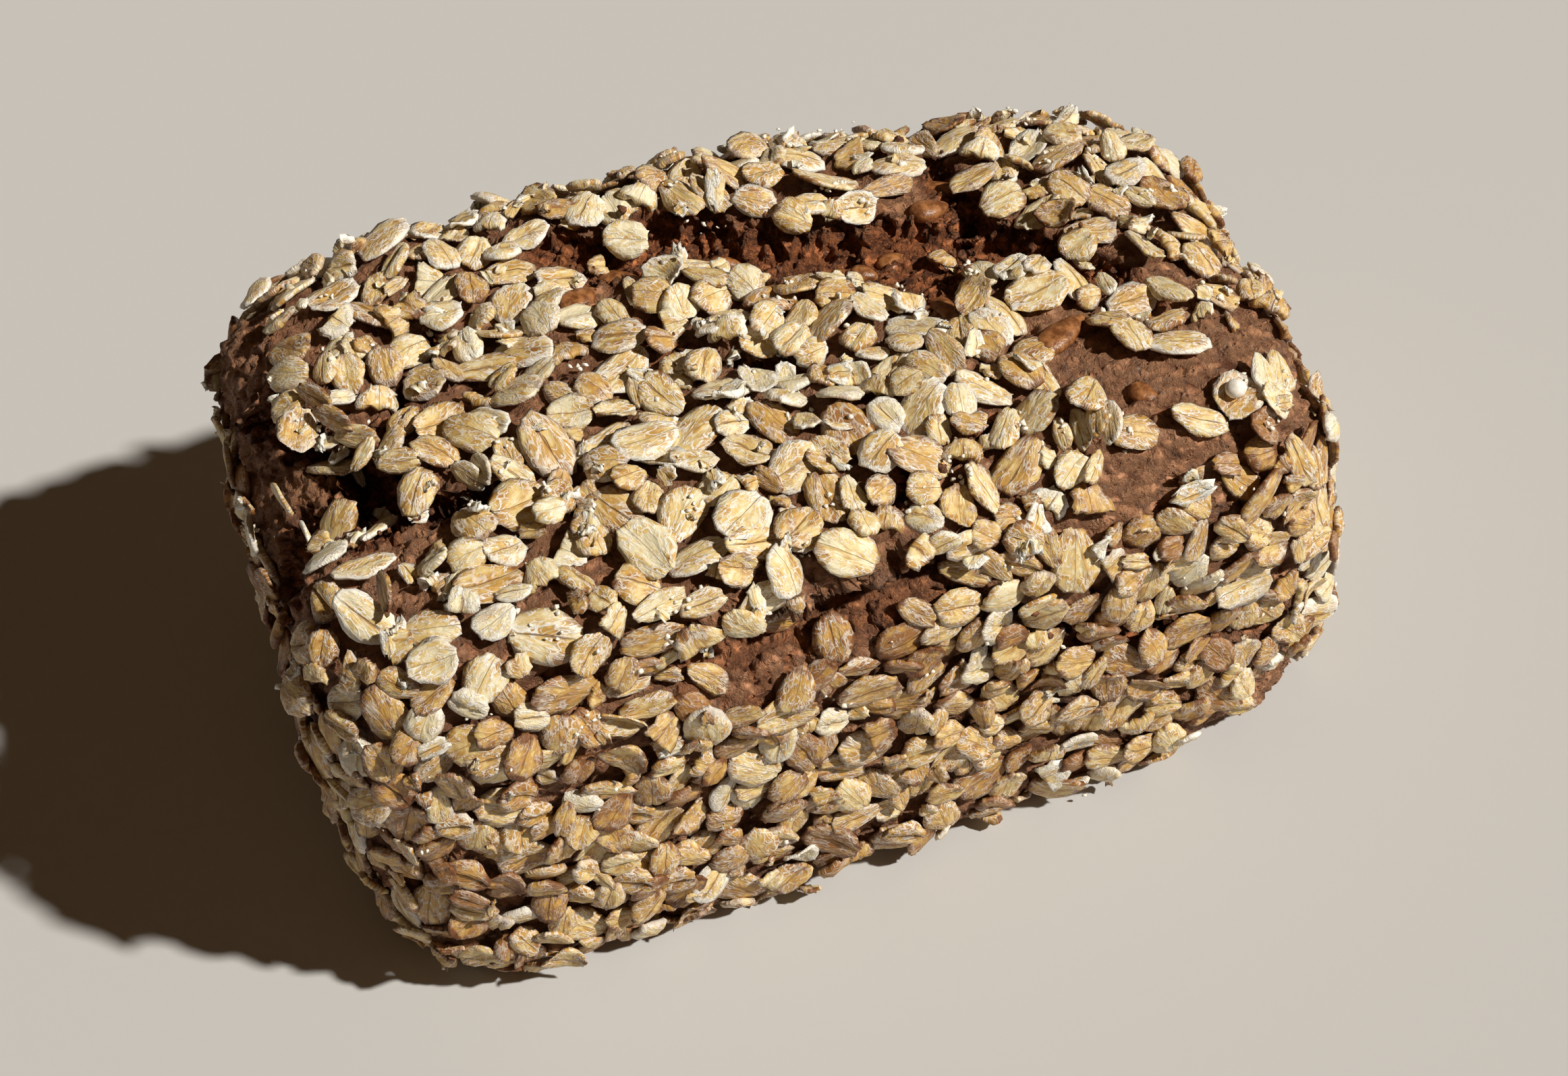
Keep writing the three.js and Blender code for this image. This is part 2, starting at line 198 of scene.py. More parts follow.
# Distance of each point from one place.
def farFrom(p, *place):
    return np.linalg.norm(p - place, axis=1)


def addMounds(lift, p, mounds):
    for x, y, z, radius, height in mounds:
        far = farFrom(p, x, y, z) / radius
        lift += height * np.exp(-1.6 * far * far)


# A measure that changes evenly from one point of a line to the next.
def between(values, leg, part):
    return values[leg] * (1 - part) + values[leg + 1] * part


def relief(p, n):
    lift = np.zeros(len(p))
    addMounds(lift, p, lumps)
    for half, height, line in ridges:
        far = lineGap(p, n, line)[0] / half
        lift += height * np.exp(-1.2 * far * far)
    x, y, z = p.T
    lift += 0.55 * np.sin(x / 7.3 + 1.1) * np.sin(y / 6.1 + z / 8.9 + 0.4)
    lift += 0.35 * np.sin(x / 4.1 - z / 5.3) * np.sin(y / 4.7 + z / 3.9 + 2.0)
    return lift * smooth(0, 9, z)


def isOpen(p):
    return np.any([farFrom(p, x, y, z) < radius for x, y, z, radius in openPlaces], axis=0)


def isBare(p, n, margin):
    bare = np.zeros(len(p), bool)
    for x, y, z, radius in barePlaces:
        bare |= farFrom(p, x, y, z) < radius
    for line, *_ in tears:
        gap, leg, part, _ = lineGap(p, n, line)
        bare |= gap < between(np.array([q[3] for q in line]), leg, part) + margin
    return bare


# Fractal noise at many points; scale is in waves per millimetre.
def grain(p, scale, octaves=3, offset=0.0):
    start = Vector((offset, 0, 0))
    return np.array([noise.fractal(Vector(q) * scale + start, 0.9, 2.1, octaves) for q in p])


def toFrame(p):
    return (p + np.array(loafForm["shift"])) * metre


def gridQuads(slots):
    return np.stack([slots[:-1, :-1], slots[1:, :-1], slots[1:, 1:], slots[:-1, 1:]], -1).reshape(-1, 4)


# The points of a cube of half side 1 and its quads, by how many cells lie each way.
def cubeGrid(cells):
    points, quads, found = [], [], {}
    steps = [np.linspace(-1, 1, k + 1) for k in cells]
    for axis in range(3):
        a, b = (axis + 1) % 3, (axis + 2) % 3
        for side in (-1, 1):
            slots = np.zeros((cells[a] + 1, cells[b] + 1), int)
            for i, u in enumerate(steps[a]):
                for j, v in enumerate(steps[b]):
                    spot = [0.0, 0.0, 0.0]
                    spot[axis], spot[a], spot[b] = side, u, v
                    key = tuple(spot)
                    if key not in found:
                        found[key] = len(points)
                        points.append(spot)
                    slots[i, j] = found[key]
            quad = gridQuads(slots)
            quads.append(quad if side > 0 else quad[:, ::-1])
    return np.array(points), np.concatenate(quads)


def newMesh(name, points, faces, smoothed=True):
    mesh = bpy.data.meshes.new(name)
    mesh.from_pydata([tuple(q) for q in points], [], [tuple(int(i) for i in f) for f in faces])
    mesh.polygons.foreach_set("use_smooth", [smoothed] * len(mesh.polygons))
    mesh.update()
    return mesh


def newObject(name, mesh):
    thing = bpy.data.objects.new(name, mesh)
    bpy.context.scene.collection.objects.link(thing)
    return thing


def addFloats(mesh, name, values):
    mesh.attributes.new(name, "FLOAT", "POINT").data.foreach_set("value", np.asarray(values, np.float32))


def addVectors(mesh, name, values):
    data = np.asarray(values, np.float32).ravel()
    mesh.attributes.new(name, "FLOAT_VECTOR", "POINT").data.foreach_set("vector", data)


# The bread itself: even crust, relief, tears and their crumbly walls.
crumbLook = {
    "crumbLumps": ((0.20, 2.2), (0.45, 2.2), (0.95, 1.2)),  # how many to a millimetre and their height
    "crustLumps": ((0.16, 2.2), (0.42, 2.4), (0.9, 1.5)),
    "openRough": 0.36,  # how much of the crumb's lumps shows on open crust
    "crustGrain": 0.34, "tornGrain": 0.60, "swell": 0.85,
    "ragged": (0.75, 0.40),  # unevenness of a tear's edge, broad and fine
    "crustLevel": (0.55, 1), "crumbLevel": (0.62, 1.25),  # height at the middle of a lump, and its fall
    "cutFrom": 0.12,  # the grid is finer where the bread is torn by more than this
    "footRim": 0.95,  # share of the underside's reach that is one flat face
}


def tearShape(p, n, rough):
    lift, torn, shift = np.zeros(len(p)), np.zeros(len(p)), np.zeros_like(p)
    for line, overhang, high, reach, *crumbly in tears + splits:
        gap, leg, part, way = lineGap(p, n, line)
        half, deep = (between(np.array([q[k] for q in line]), leg, part) for k in (3, 4))
        upper = way @ np.array(high) < 0
        near = gap / ((half * (1 + rough) + 0.3) * np.where(upper, *reach))
        lift -= deep * (1 - smooth(np.where(upper, 0.30, 0.10), 1.0, near))
        torn = np.maximum(torn, (1 - smooth(0.75, 1.15, near)) * (crumbly[0] if crumbly else 1))
        lip = upper * np.exp(-((near - 1.15) / 0.24) ** 2) * np.minimum(1, half / 2.5)
        shift += way * (overhang * lip)[:, None]
        lift += (0.4 + 0.35 * overhang) * lip
    addMounds(lift, p, swells)
    return lift, torn, shift


def readInts(items, name):
    found = np.zeros(len(items), int)
    items.foreach_get(name, found)
    return found


# Summed in the order of the faces.
def vertexNormals(mesh, spots):
    owner = readInts(mesh.loops, "vertex_index")
    first, corners = (readInts(mesh.polygons, name) for name in ("loop_start", "loop_total"))
    following = np.arange(len(owner)) + 1
    following[first + corners - 1] = first
    face = np.repeat(np.arange(len(first)), corners)
    turned = np.cross(spots[owner], spots[owner[following]])
    faceNormals = unit(np.stack([np.bincount(face, turned[:, k]) for k in range(3)], -1))
    return unit(np.stack([np.bincount(owner, faceNormals[face, k], len(spots)) for k in range(3)], -1))


# Lumps between borders, by how far a point lies from the middle of its cell.
def lumpHeight(spot, kinds, level, steep):
    return sum(height * (level - steep * noise.voronoi(spot * many)[0][0]) for many, height in kinds)


def crumbRelief(p, torn):
    crust, crumb = np.zeros(len(p)), np.zeros(len(p))
    for i, q in enumerate(p):
        spot = Vector((q[0] * 0.75, q[1], q[2])) + noise.noise_vector(Vector(q) * 0.35) * 1.6
        if torn[i] < 0.98:
            crust[i] = lumpHeight(spot, crumbLook["crustLumps"], *crumbLook["crustLevel"])
        if torn[i] > 0.02:
            crumb[i] = lumpHeight(spot, crumbLook["crumbLumps"], *crumbLook["crumbLevel"])
    fine = (crumbLook["crustGrain"] * (1 - torn) + crumbLook["tornGrain"] * torn) * grain(p, 0.42, 3, 11.0)
    return fine + crumb * torn + crust * (1 - torn) * smooth(0, 6, p[:, 2])


# Faces in an order that doesn't hang on how they were cut, so that every run gives the same bread.
def fixedOrder(faces):
    rings = [[v.index for v in f.verts] for f in faces]
    starts = [ring.index(min(ring)) for ring in rings]
    return sorted(tuple(ring[k:] + ring[:k]) for ring, k in zip(rings, starts))


def buildBody():
    cube, quads = cubeGrid(loafForm["cells"])
    p, n = skin(cube), outward(cube)
    torn = tearShape(p, n, 0.0)[1]
    built = bmesh.new()
    built.from_mesh(newMesh("cubeGrid", cube, quads))
    built.verts.ensure_lookup_table()
    worn = torn > crumbLook["cutFrom"]
    for chosen, cuts in ((worn, 2), (isOpen(p) & ~worn, 1)):
        fine = set(np.flatnonzero(chosen))
        edges = [e for e in built.edges if all(v.index in fine for v in e.verts)]
        bmesh.ops.subdivide_edges(built, edges=edges, cuts=cuts, use_grid_fill=True)
        built.verts.index_update()
    rim = crumbLook["footRim"]
    under = {v for v in built.verts if v.co.z < -0.999 and max(abs(v.co.x), abs(v.co.y)) < rim}
    foot = [f for f in built.faces if under.issuperset(f.verts)]
    bmesh.ops.dissolve_faces(built, faces=foot, use_verts=True)
    built.verts.index_update()
    cube = np.round([v.co[:] for v in built.verts], 6)
    mesh = newMesh("loafBody", cube, fixedOrder(built.faces))
    built.free()
    bpy.data.meshes.remove(bpy.data.meshes["cubeGrid"])
    p, n = skin(cube), outward(cube)
    rough = crumbLook["ragged"][0] * grain(p, 0.16, 3) + crumbLook["ragged"][1] * grain(p, 0.55, 2, 31.0)
    lift, torn, shift = tearShape(p, n, rough)
    lift += relief(p, n) + crumbLook["swell"] * grain(p, 0.085, 2, 5.0) * smooth(0, 8, p[:, 2])
    spots = p + n * lift[:, None] + shift
    mesh.vertices.foreach_set("co", spots.ravel())
    mesh.update()
    rugged = np.maximum(torn, crumbLook["openRough"] * isOpen(p))
    spots += vertexNormals(mesh, spots) * crumbRelief(spots, rugged)[:, None]
    spots[:, 2] = np.maximum(spots[:, 2], loafForm["footTrim"])
    mesh.vertices.foreach_set("co", toFrame(spots).ravel())
    mesh.polygons.foreach_set("use_smooth", [True] * len(mesh.polygons))
    mesh.update()
    addFloats(mesh, "torn", torn)
    addFloats(mesh, "open", isOpen(p))
    mesh.calc_loop_triangles()
    print("body", len(mesh.loop_triangles), "triangles")
    area = np.zeros(len(mesh.polygons))
    mesh.polygons.foreach_get("area", area)
    corners, owner = readInts(mesh.polygons, "loop_total"), readInts(mesh.loops, "vertex_index")
    share = np.bincount(owner, np.repeat(area / corners, corners), len(spots)) / metre ** 2
    return newObject("loafBody", mesh), spots, vertexNormals(mesh, spots), share, p, n, torn


body, bodySpots, bodyNormals, bodyAreas, evenSpots, evenNormals, tornShare = buildBody()


def tangents(n):
    side = np.array([1.0, 0, 0]) if abs(n[0]) < 0.7 else np.array([0, 1.0, 0])
    a = unit(np.cross(n, side))
    return a, np.cross(n, a)


# The spin that points a piece along a heading, in degrees from +x towards +y or another axis.
def spinTo(n, heading, towards=1):
    a, b = tangents(n)
    way = np.zeros(3)
    way[0], way[towards] = math.cos(math.radians(heading)), math.sin(math.radians(heading))
    return math.atan2(way @ b, way @ a)


pileLook = {  # in millimetres
    "bin": 7, "evened": 6.0,
    "covered": 0.3,  # least height of a flake that counts
    "most": 2.5,  # most that one flake adds
}


def nearest(points, place):
    return int(np.argmin(((points - place) ** 2).sum(1)))


# Every spot of the bread on which a flake can lie, with the height that is piled on it.
class Pile:
    def __init__(self, spots, normals, areas, evenNormals, torn):
        self.spot = spots
        self.area = areas
        self.sound = areas * (1.03 - torn)
        self.height = np.zeros(len(spots))
        self.normal = normals
        self.bins = {}
        for i, key in enumerate(map(tuple, np.floor(self.spot / pileLook["bin"]).astype(int))):
            self.bins.setdefault(key, []).append(i)
        self.bins = {key: np.array(found) for key, found in self.bins.items()}
        self.normal = unit(self.evened(pileLook["evened"]) + evenNormals)

    def near(self, spot):
        x, y, z = np.floor(spot / pileLook["bin"]).astype(int)
        steps = (-1, 0, 1)
        keys = [(x + i, y + j, z + k) for i in steps for j in steps for k in steps]
        return np.concatenate([self.bins[key] for key in keys if key in self.bins])

    def top(self, i, lift):
        return self.spot[i] + self.normal[i] * (self.height[i] + lift)

    def evened(self, reach):
        total = np.zeros_like(self.normal)
        for key, found in self.bins.items():
            around = self.near((np.array(key) + 0.5) * pileLook["bin"])
            gap = np.linalg.norm(self.spot[found][:, None] - self.spot[around][None], axis=2)
            weight = np.exp(-(gap / reach) ** 2) * self.sound[around]
            total[found] = weight @ self.normal[around]
        return unit(total)

    # Lays a flake at cell i with the spin that hides least of the others, or nowhere if it hides too much.
    def lay(self, i, spins, half, puff, look):
        n = self.normal[i]
        a, b = tangents(n)
        around = self.near(self.spot[i])
        around = around[self.normal[around] @ n > 0.2]
        off = self.spot[around] + self.normal[around] * self.height[around][:, None] - self.spot[i]
        h = off @ n
        best, least = None, look["overlap"]
        for spin in spins:
            t1 = math.cos(spin) * a + math.sin(spin) * b
            t2 = np.cross(n, t1)
            s, t = off @ t1, off @ t2
            inside = ((s / half[0]) ** 2 + (t / half[1]) ** 2 < 1) & (np.abs(h) < pileLook["bin"])
            area = self.area[around[inside]]
            hidden = (area * (self.height[around[inside]] > pileLook["covered"])).sum() / (area.sum() + 1e-9)
            if inside.sum() > 7 and hidden <= least:
                best, least = (t1, t2, s[inside], t[inside], h[inside], around[inside]), hidden
        if best is None:
            return None
        t1, t2, s, t, h, cells = best
        held = h > np.percentile(h, 80) - look["bridge"]
        fit = np.linalg.lstsq(np.stack([np.ones(held.sum()), s[held], t[held]], 1), h[held], rcond=None)[0]
        lean = fit[1:] * look["follow"] + look["lean"]
        steep = np.linalg.norm(lean)
        lean = lean * min(1, look["steepest"] / (steep + 1e-9))
        under = h - s * lean[0] - t * lean[1]
        level = max(np.percentile(under, look["seat"]) + look["lift"], under.max() - look["poke"])
        top = level + s * lean[0] + t * lean[1] + 2 * flakeLook["edge"] + 0.7 * puff
        rise = np.maximum(0, top - h) / np.maximum(0.5, self.normal[cells] @ n)
        self.height[cells] += np.minimum(rise, pileLook["most"])
        up = unit(n - lean[0] * t1 - lean[1] * t2)
        along = unit(t1 - up * (t1 @ up))
        return self.spot[i] + n * (level + flakeLook["edge"] + 0.15 * puff), along, np.cross(up, along), up


# Draws that part.mjs repeats, so that the largest flakes lie where its solids have them.
def largePlaces():
    rule = {"seed": 20406, "tries": 9000, "limit": 180, "spacing": 14.4}
    state, draws = rule["seed"], []
    for _ in range(rule["tries"] * 6):
        state = state * 48271 % 2147483647
        draws.append(state / 2147483647)
    side, u, v, spin, size, tilt = np.array(draws).reshape(-1, 6).T
    u, v = u * 2 - 1, v * 2 - 1
    one = np.ones_like(u)
    cube = np.stack([u, v, one], 1)
    end = np.where(side > 0.88, 1, -1)
    for limit, face in ((0.30, (u, -one, v)), (0.53, (u, one, v)), (0.76, (end, u, v))):
        cube = np.where((side > limit)[:, None], np.stack(face, 1), cube)
    p, n = skin(cube), outward(cube)
    good = (p[:, 2] >= 5.5) & ~isBare(p, n, 3.4)
    placed = []
    for i in np.flatnonzero(good):
        clear = all(np.linalg.norm(p[i] - p[j]) >= rule["spacing"] for j in placed)
        if clear and len(placed) < rule["limit"]:
            placed.append(i)
    print("large flakes", len(placed))
    return p[placed], spin[placed] * math.pi, size[placed]


# Long, wide, puff, crease, curl, bend, where the end is cut, ragged edge, seed, share of the flakes.
flakeKinds = {
    "whole1": (8.9, 6.9, 1.00, 0.10, -0.25, -0.30, 1.0, 0.016, 1, 5),
    "whole2": (9.2, 6.7, 1.00, 0.12, 0.25, -0.25, 1.0, 0.018, 2, 5),
    "whole3": (8.3, 6.8, 1.15, 0.80, -0.30, 0.20, 1.0, 0.021, 3, 5),
    "whole4": (8.8, 6.4, 1.05, 0.10, 0.20, 0.35, 1.0, 0.016, 4, 4),
    "whole5": (8.0, 6.3, 1.20, 0.95, -0.40, -0.30, 1.0, 0.018, 5, 5),
    "whole6": (9.6, 7.2, 0.90, 0.45, 0.15, 0.50, 1.0, 0.025, 6, 3),
    "whole7": (8.5, 6.1, 1.20, 0.65, -0.25, 0.10, 1.0, 0.016, 7, 5),
    "whole8": (8.1, 6.6, 1.00, 0.00, -0.35, -0.2, 1.0, 0.019, 21, 4),
    "plump1": (7.6, 5.8, 1.45, 0.70, -0.35, -0.20, 1.0, 0.014, 8, 3),
    "plump2": (8.3, 5.4, 1.35, 0.15, -0.30, 0.20, 1.0, 0.016, 9, 3),
    "slim1": (9.2, 4.9, 0.95, 0.35, 0.30, 0.25, 1.0, 0.021, 10, 3),
    "boat1": (8.8, 6.0, 0.60, 0.40, 1.40, 0.50, 1.0, 0.023, 13, 2),
    "bent1": (8.6, 6.5, 0.70, 0.35, 0.50, 1.50, 1.0, 0.027, 14, 2),
    "half1": (9.2, 6.9, 0.95, 0.45, 0.35, -0.20, 0.15, 0.055, 15, 3),
    "half2": (8.6, 6.6, 0.90, 0.12, -0.35, 0.30, -0.05, 0.060, 16, 3),
}
bitKinds = {
    "small1": (6.7, 5.4, 1.00, 0.20, -0.25, 0.20, 1.0, 0.022, 11, 6),
    "small2": (6.1, 4.7, 1.05, 0.55, -0.20, -0.2, 1.0, 0.025, 12, 5),
    "piece1": (7.4, 5.6, 0.85, 0.40, 0.35, -0.20, 0.10, 0.070, 22, 4),
    "lobe1": (7.6, 3.6, 0.95, 0.10, 0.25, 0.30, 1.0, 0.025, 17, 4),
    "chip1": (5.0, 3.9, 0.75, 0.12, 0.30, 0.20, 0.6, 0.075, 18, 4),
    "chip2": (4.0, 3.3, 0.70, 0.10, -0.30, 0.30, 0.4, 0.085, 19, 3),
    "sliver1": (6.4, 2.5, 0.65, 0.10, 0.30, 0.40, 0.8, 0.065, 20, 3),
}
ragKinds = {
    "rag1": (3.8, 2.8, 0.6, 0.0, 0.5, 0.4, 0.7, 0.13, 31, 1),
    "rag2": (4.6, 2.2, 0.5, 0.1, -0.4, 0.5, 0.8, 0.14, 32, 1),
    "rag3": (2.8, 2.2, 0.6, 0.0, 0.4, -0.4, 0.6, 0.15, 33, 1),
    "rag4": (2.2, 1.6, 0.6, 0.0, 0.3, 0.2, 0.8, 0.15, 34, 1),
}
flakeLook = {
    "edge": 0.26,  # half the thickness of a flake's rim, in millimetres
    "rails": (-1, -0.70, -0.28, 0, 0.28, 0.70, 1.0), "rounding": 2.9, "dome": 0.38, "flat": 0.62,
    "creaseWide": 0.17, "usualLong": 8.8,
    "lobes": ((2, 0.05), (3, 0.04), (5, 0.03)),  # how many bulges go round the outline, and their size
}


def flakeObject(name, values, stations=9, wave=0.18):
    long, wide, puff, crease, curl, bend, cut, ragged, seed, _ = values
    look, rng = flakeLook, np.random.default_rng(seed)
    u = -1 + (np.sin(np.linspace(-1, 1, stations) * math.pi / 2) + 1) * (1 + cut) / 2
    width = np.maximum(0.18, 1 - np.abs(u) ** look["rounding"]) ** 0.5 * (1 + rng.uniform(-0.14, 0.14) * u)
    uu, vv = np.meshgrid(u, look["rails"], indexing="ij")
    ww = vv * width[:, None]
    edge = (np.abs(vv) == 1) | (np.arange(stations)[:, None] % (stations - 1) == 0)
    fray = edge * rng.normal(0, ragged, (2, *uu.shape))
    x = long / 2 * (uu + fray[0] - 0.08 * ww ** 2 * np.sign(uu))
    y = wide / 2 * (ww + fray[1] + rng.uniform(-0.12, 0.12) * (1 - uu * uu))
    turn, swing, uneven = np.arctan2(ww, uu), rng.uniform(0, 2 * math.pi, 3), 1
    for (bulges, size), start in zip(look["lobes"], swing):
        uneven = uneven + size * np.sin(bulges * turn + start)
    x, y = x * uneven, y * uneven
    dome = np.clip(1 - uu * uu - ww * ww, 0, 1) ** look["dome"] * ~edge
    base = curl * (ww * ww - 0.3) + bend * (uu * uu - 0.3)
    base += wave * np.sin(2.6 * uu + rng.uniform(0, 6)) * vv + 0.4 * wave * rng.normal(0, 1, uu.shape)
    top = look["flat"] * puff * dome * (1 + rng.uniform(-0.25, 0.25) * vv)
    top = top + ~edge * rng.normal(0, 0.03 + wave / 4, uu.shape)
    top -= crease * np.exp(-(vv / look["creaseWide"]) ** 2) * (1 - np.abs(uu) ** 4)
    upper = np.stack([x, y, base + look["edge"] + top], -1).reshape(-1, 3)
    slots = np.arange(len(upper)).reshape(uu.shape)
    rim = [*slots[:, 0], *slots[-1, 1:], *slots[-2::-1, -1], *slots[0, -2:0:-1]]
    lower = upper[rim] * (0.93, 0.90, 1) - (0, 0, 2 * look["edge"])
    belly = lower.mean(0) - (0, 0, 0.22 * puff)
    first, last = len(upper), len(upper) + len(rim)
    ring = range(len(rim))
    wall = [(rim[k], first + k, first + (k + 1) % len(rim), rim[(k + 1) % len(rim)]) for k in ring]
    under = [(first + (k + 1) % len(rim), first + k, last) for k in ring]
    points = np.concatenate([upper, lower, belly[None]])
    mesh = newMesh(name, points * metre, [*gridQuads(slots), *wall, *under])
    size = long / look["usualLong"]
    mark = np.stack([uu.ravel(), ww.ravel(), np.full(uu.size, size)], -1)
    mark = np.concatenate([mark, mark[rim], [[0, 0, size]]])
    addVectors(mesh, "flakeSpot", mark)
    return bpy.data.objects.new(name, mesh)


# Sets one of the listed shapes on each point, by its own turn, size and kind.
def layingTree():
    tree = bpy.data.node_groups.new("layPieces", "GeometryNodeTree")
    for name, kind in (("Geometry", "Geometry"), ("Shapes", "Collection"), ("Finish", "Material")):
        tree.interface.new_socket(name, in_out="INPUT", socket_type="NodeSocket" + kind)
    tree.interface.new_socket("Geometry", in_out="OUTPUT", socket_type="NodeSocketGeometry")

    def node(kind, **settings):
        made = tree.nodes.new(kind)
        for key, value in settings.items():
            setattr(made, key, value)
        return made

    def named(name, kind):
        made = node("GeometryNodeInputNamedAttribute", data_type=kind)
        made.inputs["Name"].default_value = name
        return made.outputs["Attribute"]

    given, done = node("NodeGroupInput"), node("NodeGroupOutput")
    shapes = node("GeometryNodeCollectionInfo")
    shapes.inputs["Separate Children"].default_value = True
    shapes.inputs["Reset Children"].default_value = True
    spread = node("GeometryNodeInstanceOnPoints")
    spread.inputs["Pick Instance"].default_value = True
    turned = node("FunctionNodeEulerToRotation")
    real, painted = node("GeometryNodeRealizeInstances"), node("GeometryNodeSetMaterial")
    link = tree.links.new
    link(given.outputs["Geometry"], spread.inputs["Points"])
    link(given.outputs["Shapes"], shapes.inputs["Collection"])
    link(shapes.outputs["Instances"], spread.inputs["Instance"])
    link(named("kind", "INT"), spread.inputs["Instance Index"])
    link(named("turn", "FLOAT_VECTOR"), turned.inputs[0])
    link(turned.outputs[0], spread.inputs["Rotation"])
    link(named("stretch", "FLOAT_VECTOR"), spread.inputs["Scale"])
    link(spread.outputs[0], real.inputs[0])
    link(real.outputs[0], painted.inputs[0])
    link(given.outputs["Finish"], painted.inputs["Material"])
    link(painted.outputs[0], done.inputs[0])
    return tree


# One joined piece of many small shapes. Each place: spot, axes, stretch, kind, tone, toast.
def layPieces(name, shapes, places, material):
    group = bpy.data.collections.new(name + "Shapes")
    for shape in shapes:
        group.objects.link(shape)
    order = sorted(range(len(shapes)), key=lambda i: shapes[i].name)
    rank = {old: new for new, old in enumerate(order)}
    mesh = bpy.data.meshes.new(name + "Points")
    mesh.from_pydata([tuple(toFrame(q["spot"])) for q in places], [], [])
    turns = [tuple(Matrix(np.array(q["axes"]).T.tolist()).to_euler()) for q in places]
    addVectors(mesh, "turn", turns)
    addVectors(mesh, "stretch", [q["stretch"] for q in places])
    mesh.attributes.new("kind", "INT", "POINT").data.foreach_set("value", [rank[q["kind"]] for q in places])
    for key in ("tone", "toast"):
        addFloats(mesh, key, [q[key] for q in places])
    points = newObject(name + "Points", mesh)
    modifier = points.modifiers.new("lay", "NODES")
    modifier.node_group = laying
    given = {"Shapes": group, "Finish": material}
    for item in laying.interface.items_tree:
        if item.in_out == "INPUT" and item.name in given:
            modifier[item.identifier] = given[item.name]
    evaluated = points.evaluated_get(bpy.context.evaluated_depsgraph_get())
    result = bpy.data.meshes.new_from_object(evaluated)
    result.name = name
    for key in ("turn", "stretch", "kind"):
        if key in result.attributes:
            result.attributes.remove(result.attributes[key])
    bpy.data.objects.remove(points)
    for shape in list(group.objects):
        bpy.data.objects.remove(shape)
    bpy.data.collections.remove(group)
    result.calc_loop_triangles()
    print(name, len(places), "pieces,", len(result.loop_triangles), "triangles")
    return newObject(name, result)


laying = layingTree()


# A shader socket that takes ordinary arithmetic.
class Wire:
    def __init__(self, paint, source):
        self.paint = paint
        self.source = source

    def sum(self, operation, *values):
        return self.paint.node("ShaderNodeMath", {"operation": operation}, dict(enumerate(values)))

    def __add__(self, other):
        return self.sum("ADD", self, other)

    def __radd__(self, other):
        return self.sum("ADD", other, self)

    def __sub__(self, other):
        return self.sum("SUBTRACT", self, other)

    def __rsub__(self, other):
        return self.sum("SUBTRACT", other, self)

    def __mul__(self, other):
        return self.sum("MULTIPLY", self, other)

    def __rmul__(self, other):
        return self.sum("MULTIPLY", other, self)

    def __pow__(self, other):
        return self.sum("POWER", self, other)

    def __abs__(self):
        return self.sum("ABSOLUTE", self)

    def wrap(self):
        return self.sum("FRACT", self)

    def step(self, low, high):
        return self.paint.node("ShaderNodeMapRange", {"interpolation_type": "SMOOTHSTEP"},
                               {"Value": self, "From Min": low, "From Max": high})


class Paint:
    def __init__(self, name):
        self.material = bpy.data.materials.new(name)
        self.material.use_nodes = True
        self.tree = self.material.node_tree
        self.shader = self.tree.nodes["Principled BSDF"]

    # Adds any node: its settings come first, then the values or links of its sockets.
    def node(self, kind, settings=None, inputs=None, out=0):
        made = self.tree.nodes.new(kind)
        for key, value in (settings or {}).items():
            setattr(made, key, value)
        for key, value in (inputs or {}).items():
            self.feed(made.inputs[key], value)
        return Wire(self, made.outputs[out])

    def feed(self, socket, value):
        if isinstance(value, Wire):
            self.tree.links.new(value.source, socket)
        elif isinstance(value, tuple) and len(value) == 3 and socket.type == "RGBA":
            socket.default_value = (*value, 1)
        else:
            socket.default_value = value

    def finish(self, **inputs):
        for key, value in inputs.items():
            self.feed(self.shader.inputs[key.replace("_", " ")], value)
        return self.material

    def spot(self):
        coords = self.node("ShaderNodeTexCoord", out="Object")
        return self.node("ShaderNodeVectorMath", {"operation": "SCALE"}, {0: coords, "Scale": 1 / metre})

    def attribute(self, name, out="Fac"):
        return self.node("ShaderNodeAttribute", {"attribute_name": name}, out=out)

    def vector(self, *parts):
        return self.node("ShaderNodeCombineXYZ", None, dict(enumerate(parts)))

    def part(self, vector, axis):
        return self.node("ShaderNodeSeparateXYZ", None, {0: vector}, out=axis)

    def noise(self, vector, scale, detail=3.0, roughness=0.55, warp=0.0):
        return self.node("ShaderNodeTexNoise", None, {"Vector": vector, "Scale": scale, "Detail": detail,
                                                      "Roughness": roughness, "Distortion": warp})

    # Distance to the middle of a cell, or to the border between cells.
    def cells(self, vector, scale, feature="F1"):
        return self.node("ShaderNodeTexVoronoi", {"feature": feature}, {"Vector": vector, "Scale": scale},
                         out="Distance")

    def mix(self, share, a, b):
        made = self.tree.nodes.new("ShaderNodeMix")
        made.data_type = "RGBA"
        for index, value in ((0, share), (6, a), (7, b)):
            self.feed(made.inputs[index], value)
        return Wire(self, made.outputs[2])

    def bump(self, height, strength, distance):
        values = {"Height": height, "Strength": strength, "Distance": distance}
        return self.node("ShaderNodeBump", None, values)


crustLook = {
    "crustDark": (0.20, 0.064, 0.025), "crustLight": (0.64, 0.320, 0.168), "crustPale": (0.72, 0.46, 0.28),
    "crumbDark": (0.12, 0.033, 0.011), "crumbLight": (0.58, 0.195, 0.064), "crumbPale": (0.66, 0.31, 0.13),
    # the pore colour is painted shade: the near-black put into the pores' hollows
    "mauve": (0.37, 0.215, 0.150), "pore": (0.05, 0.014, 0.006), "flour": (0.76, 0.62, 0.47),
    "roughness": 0.66, "bump": 1.0,
}


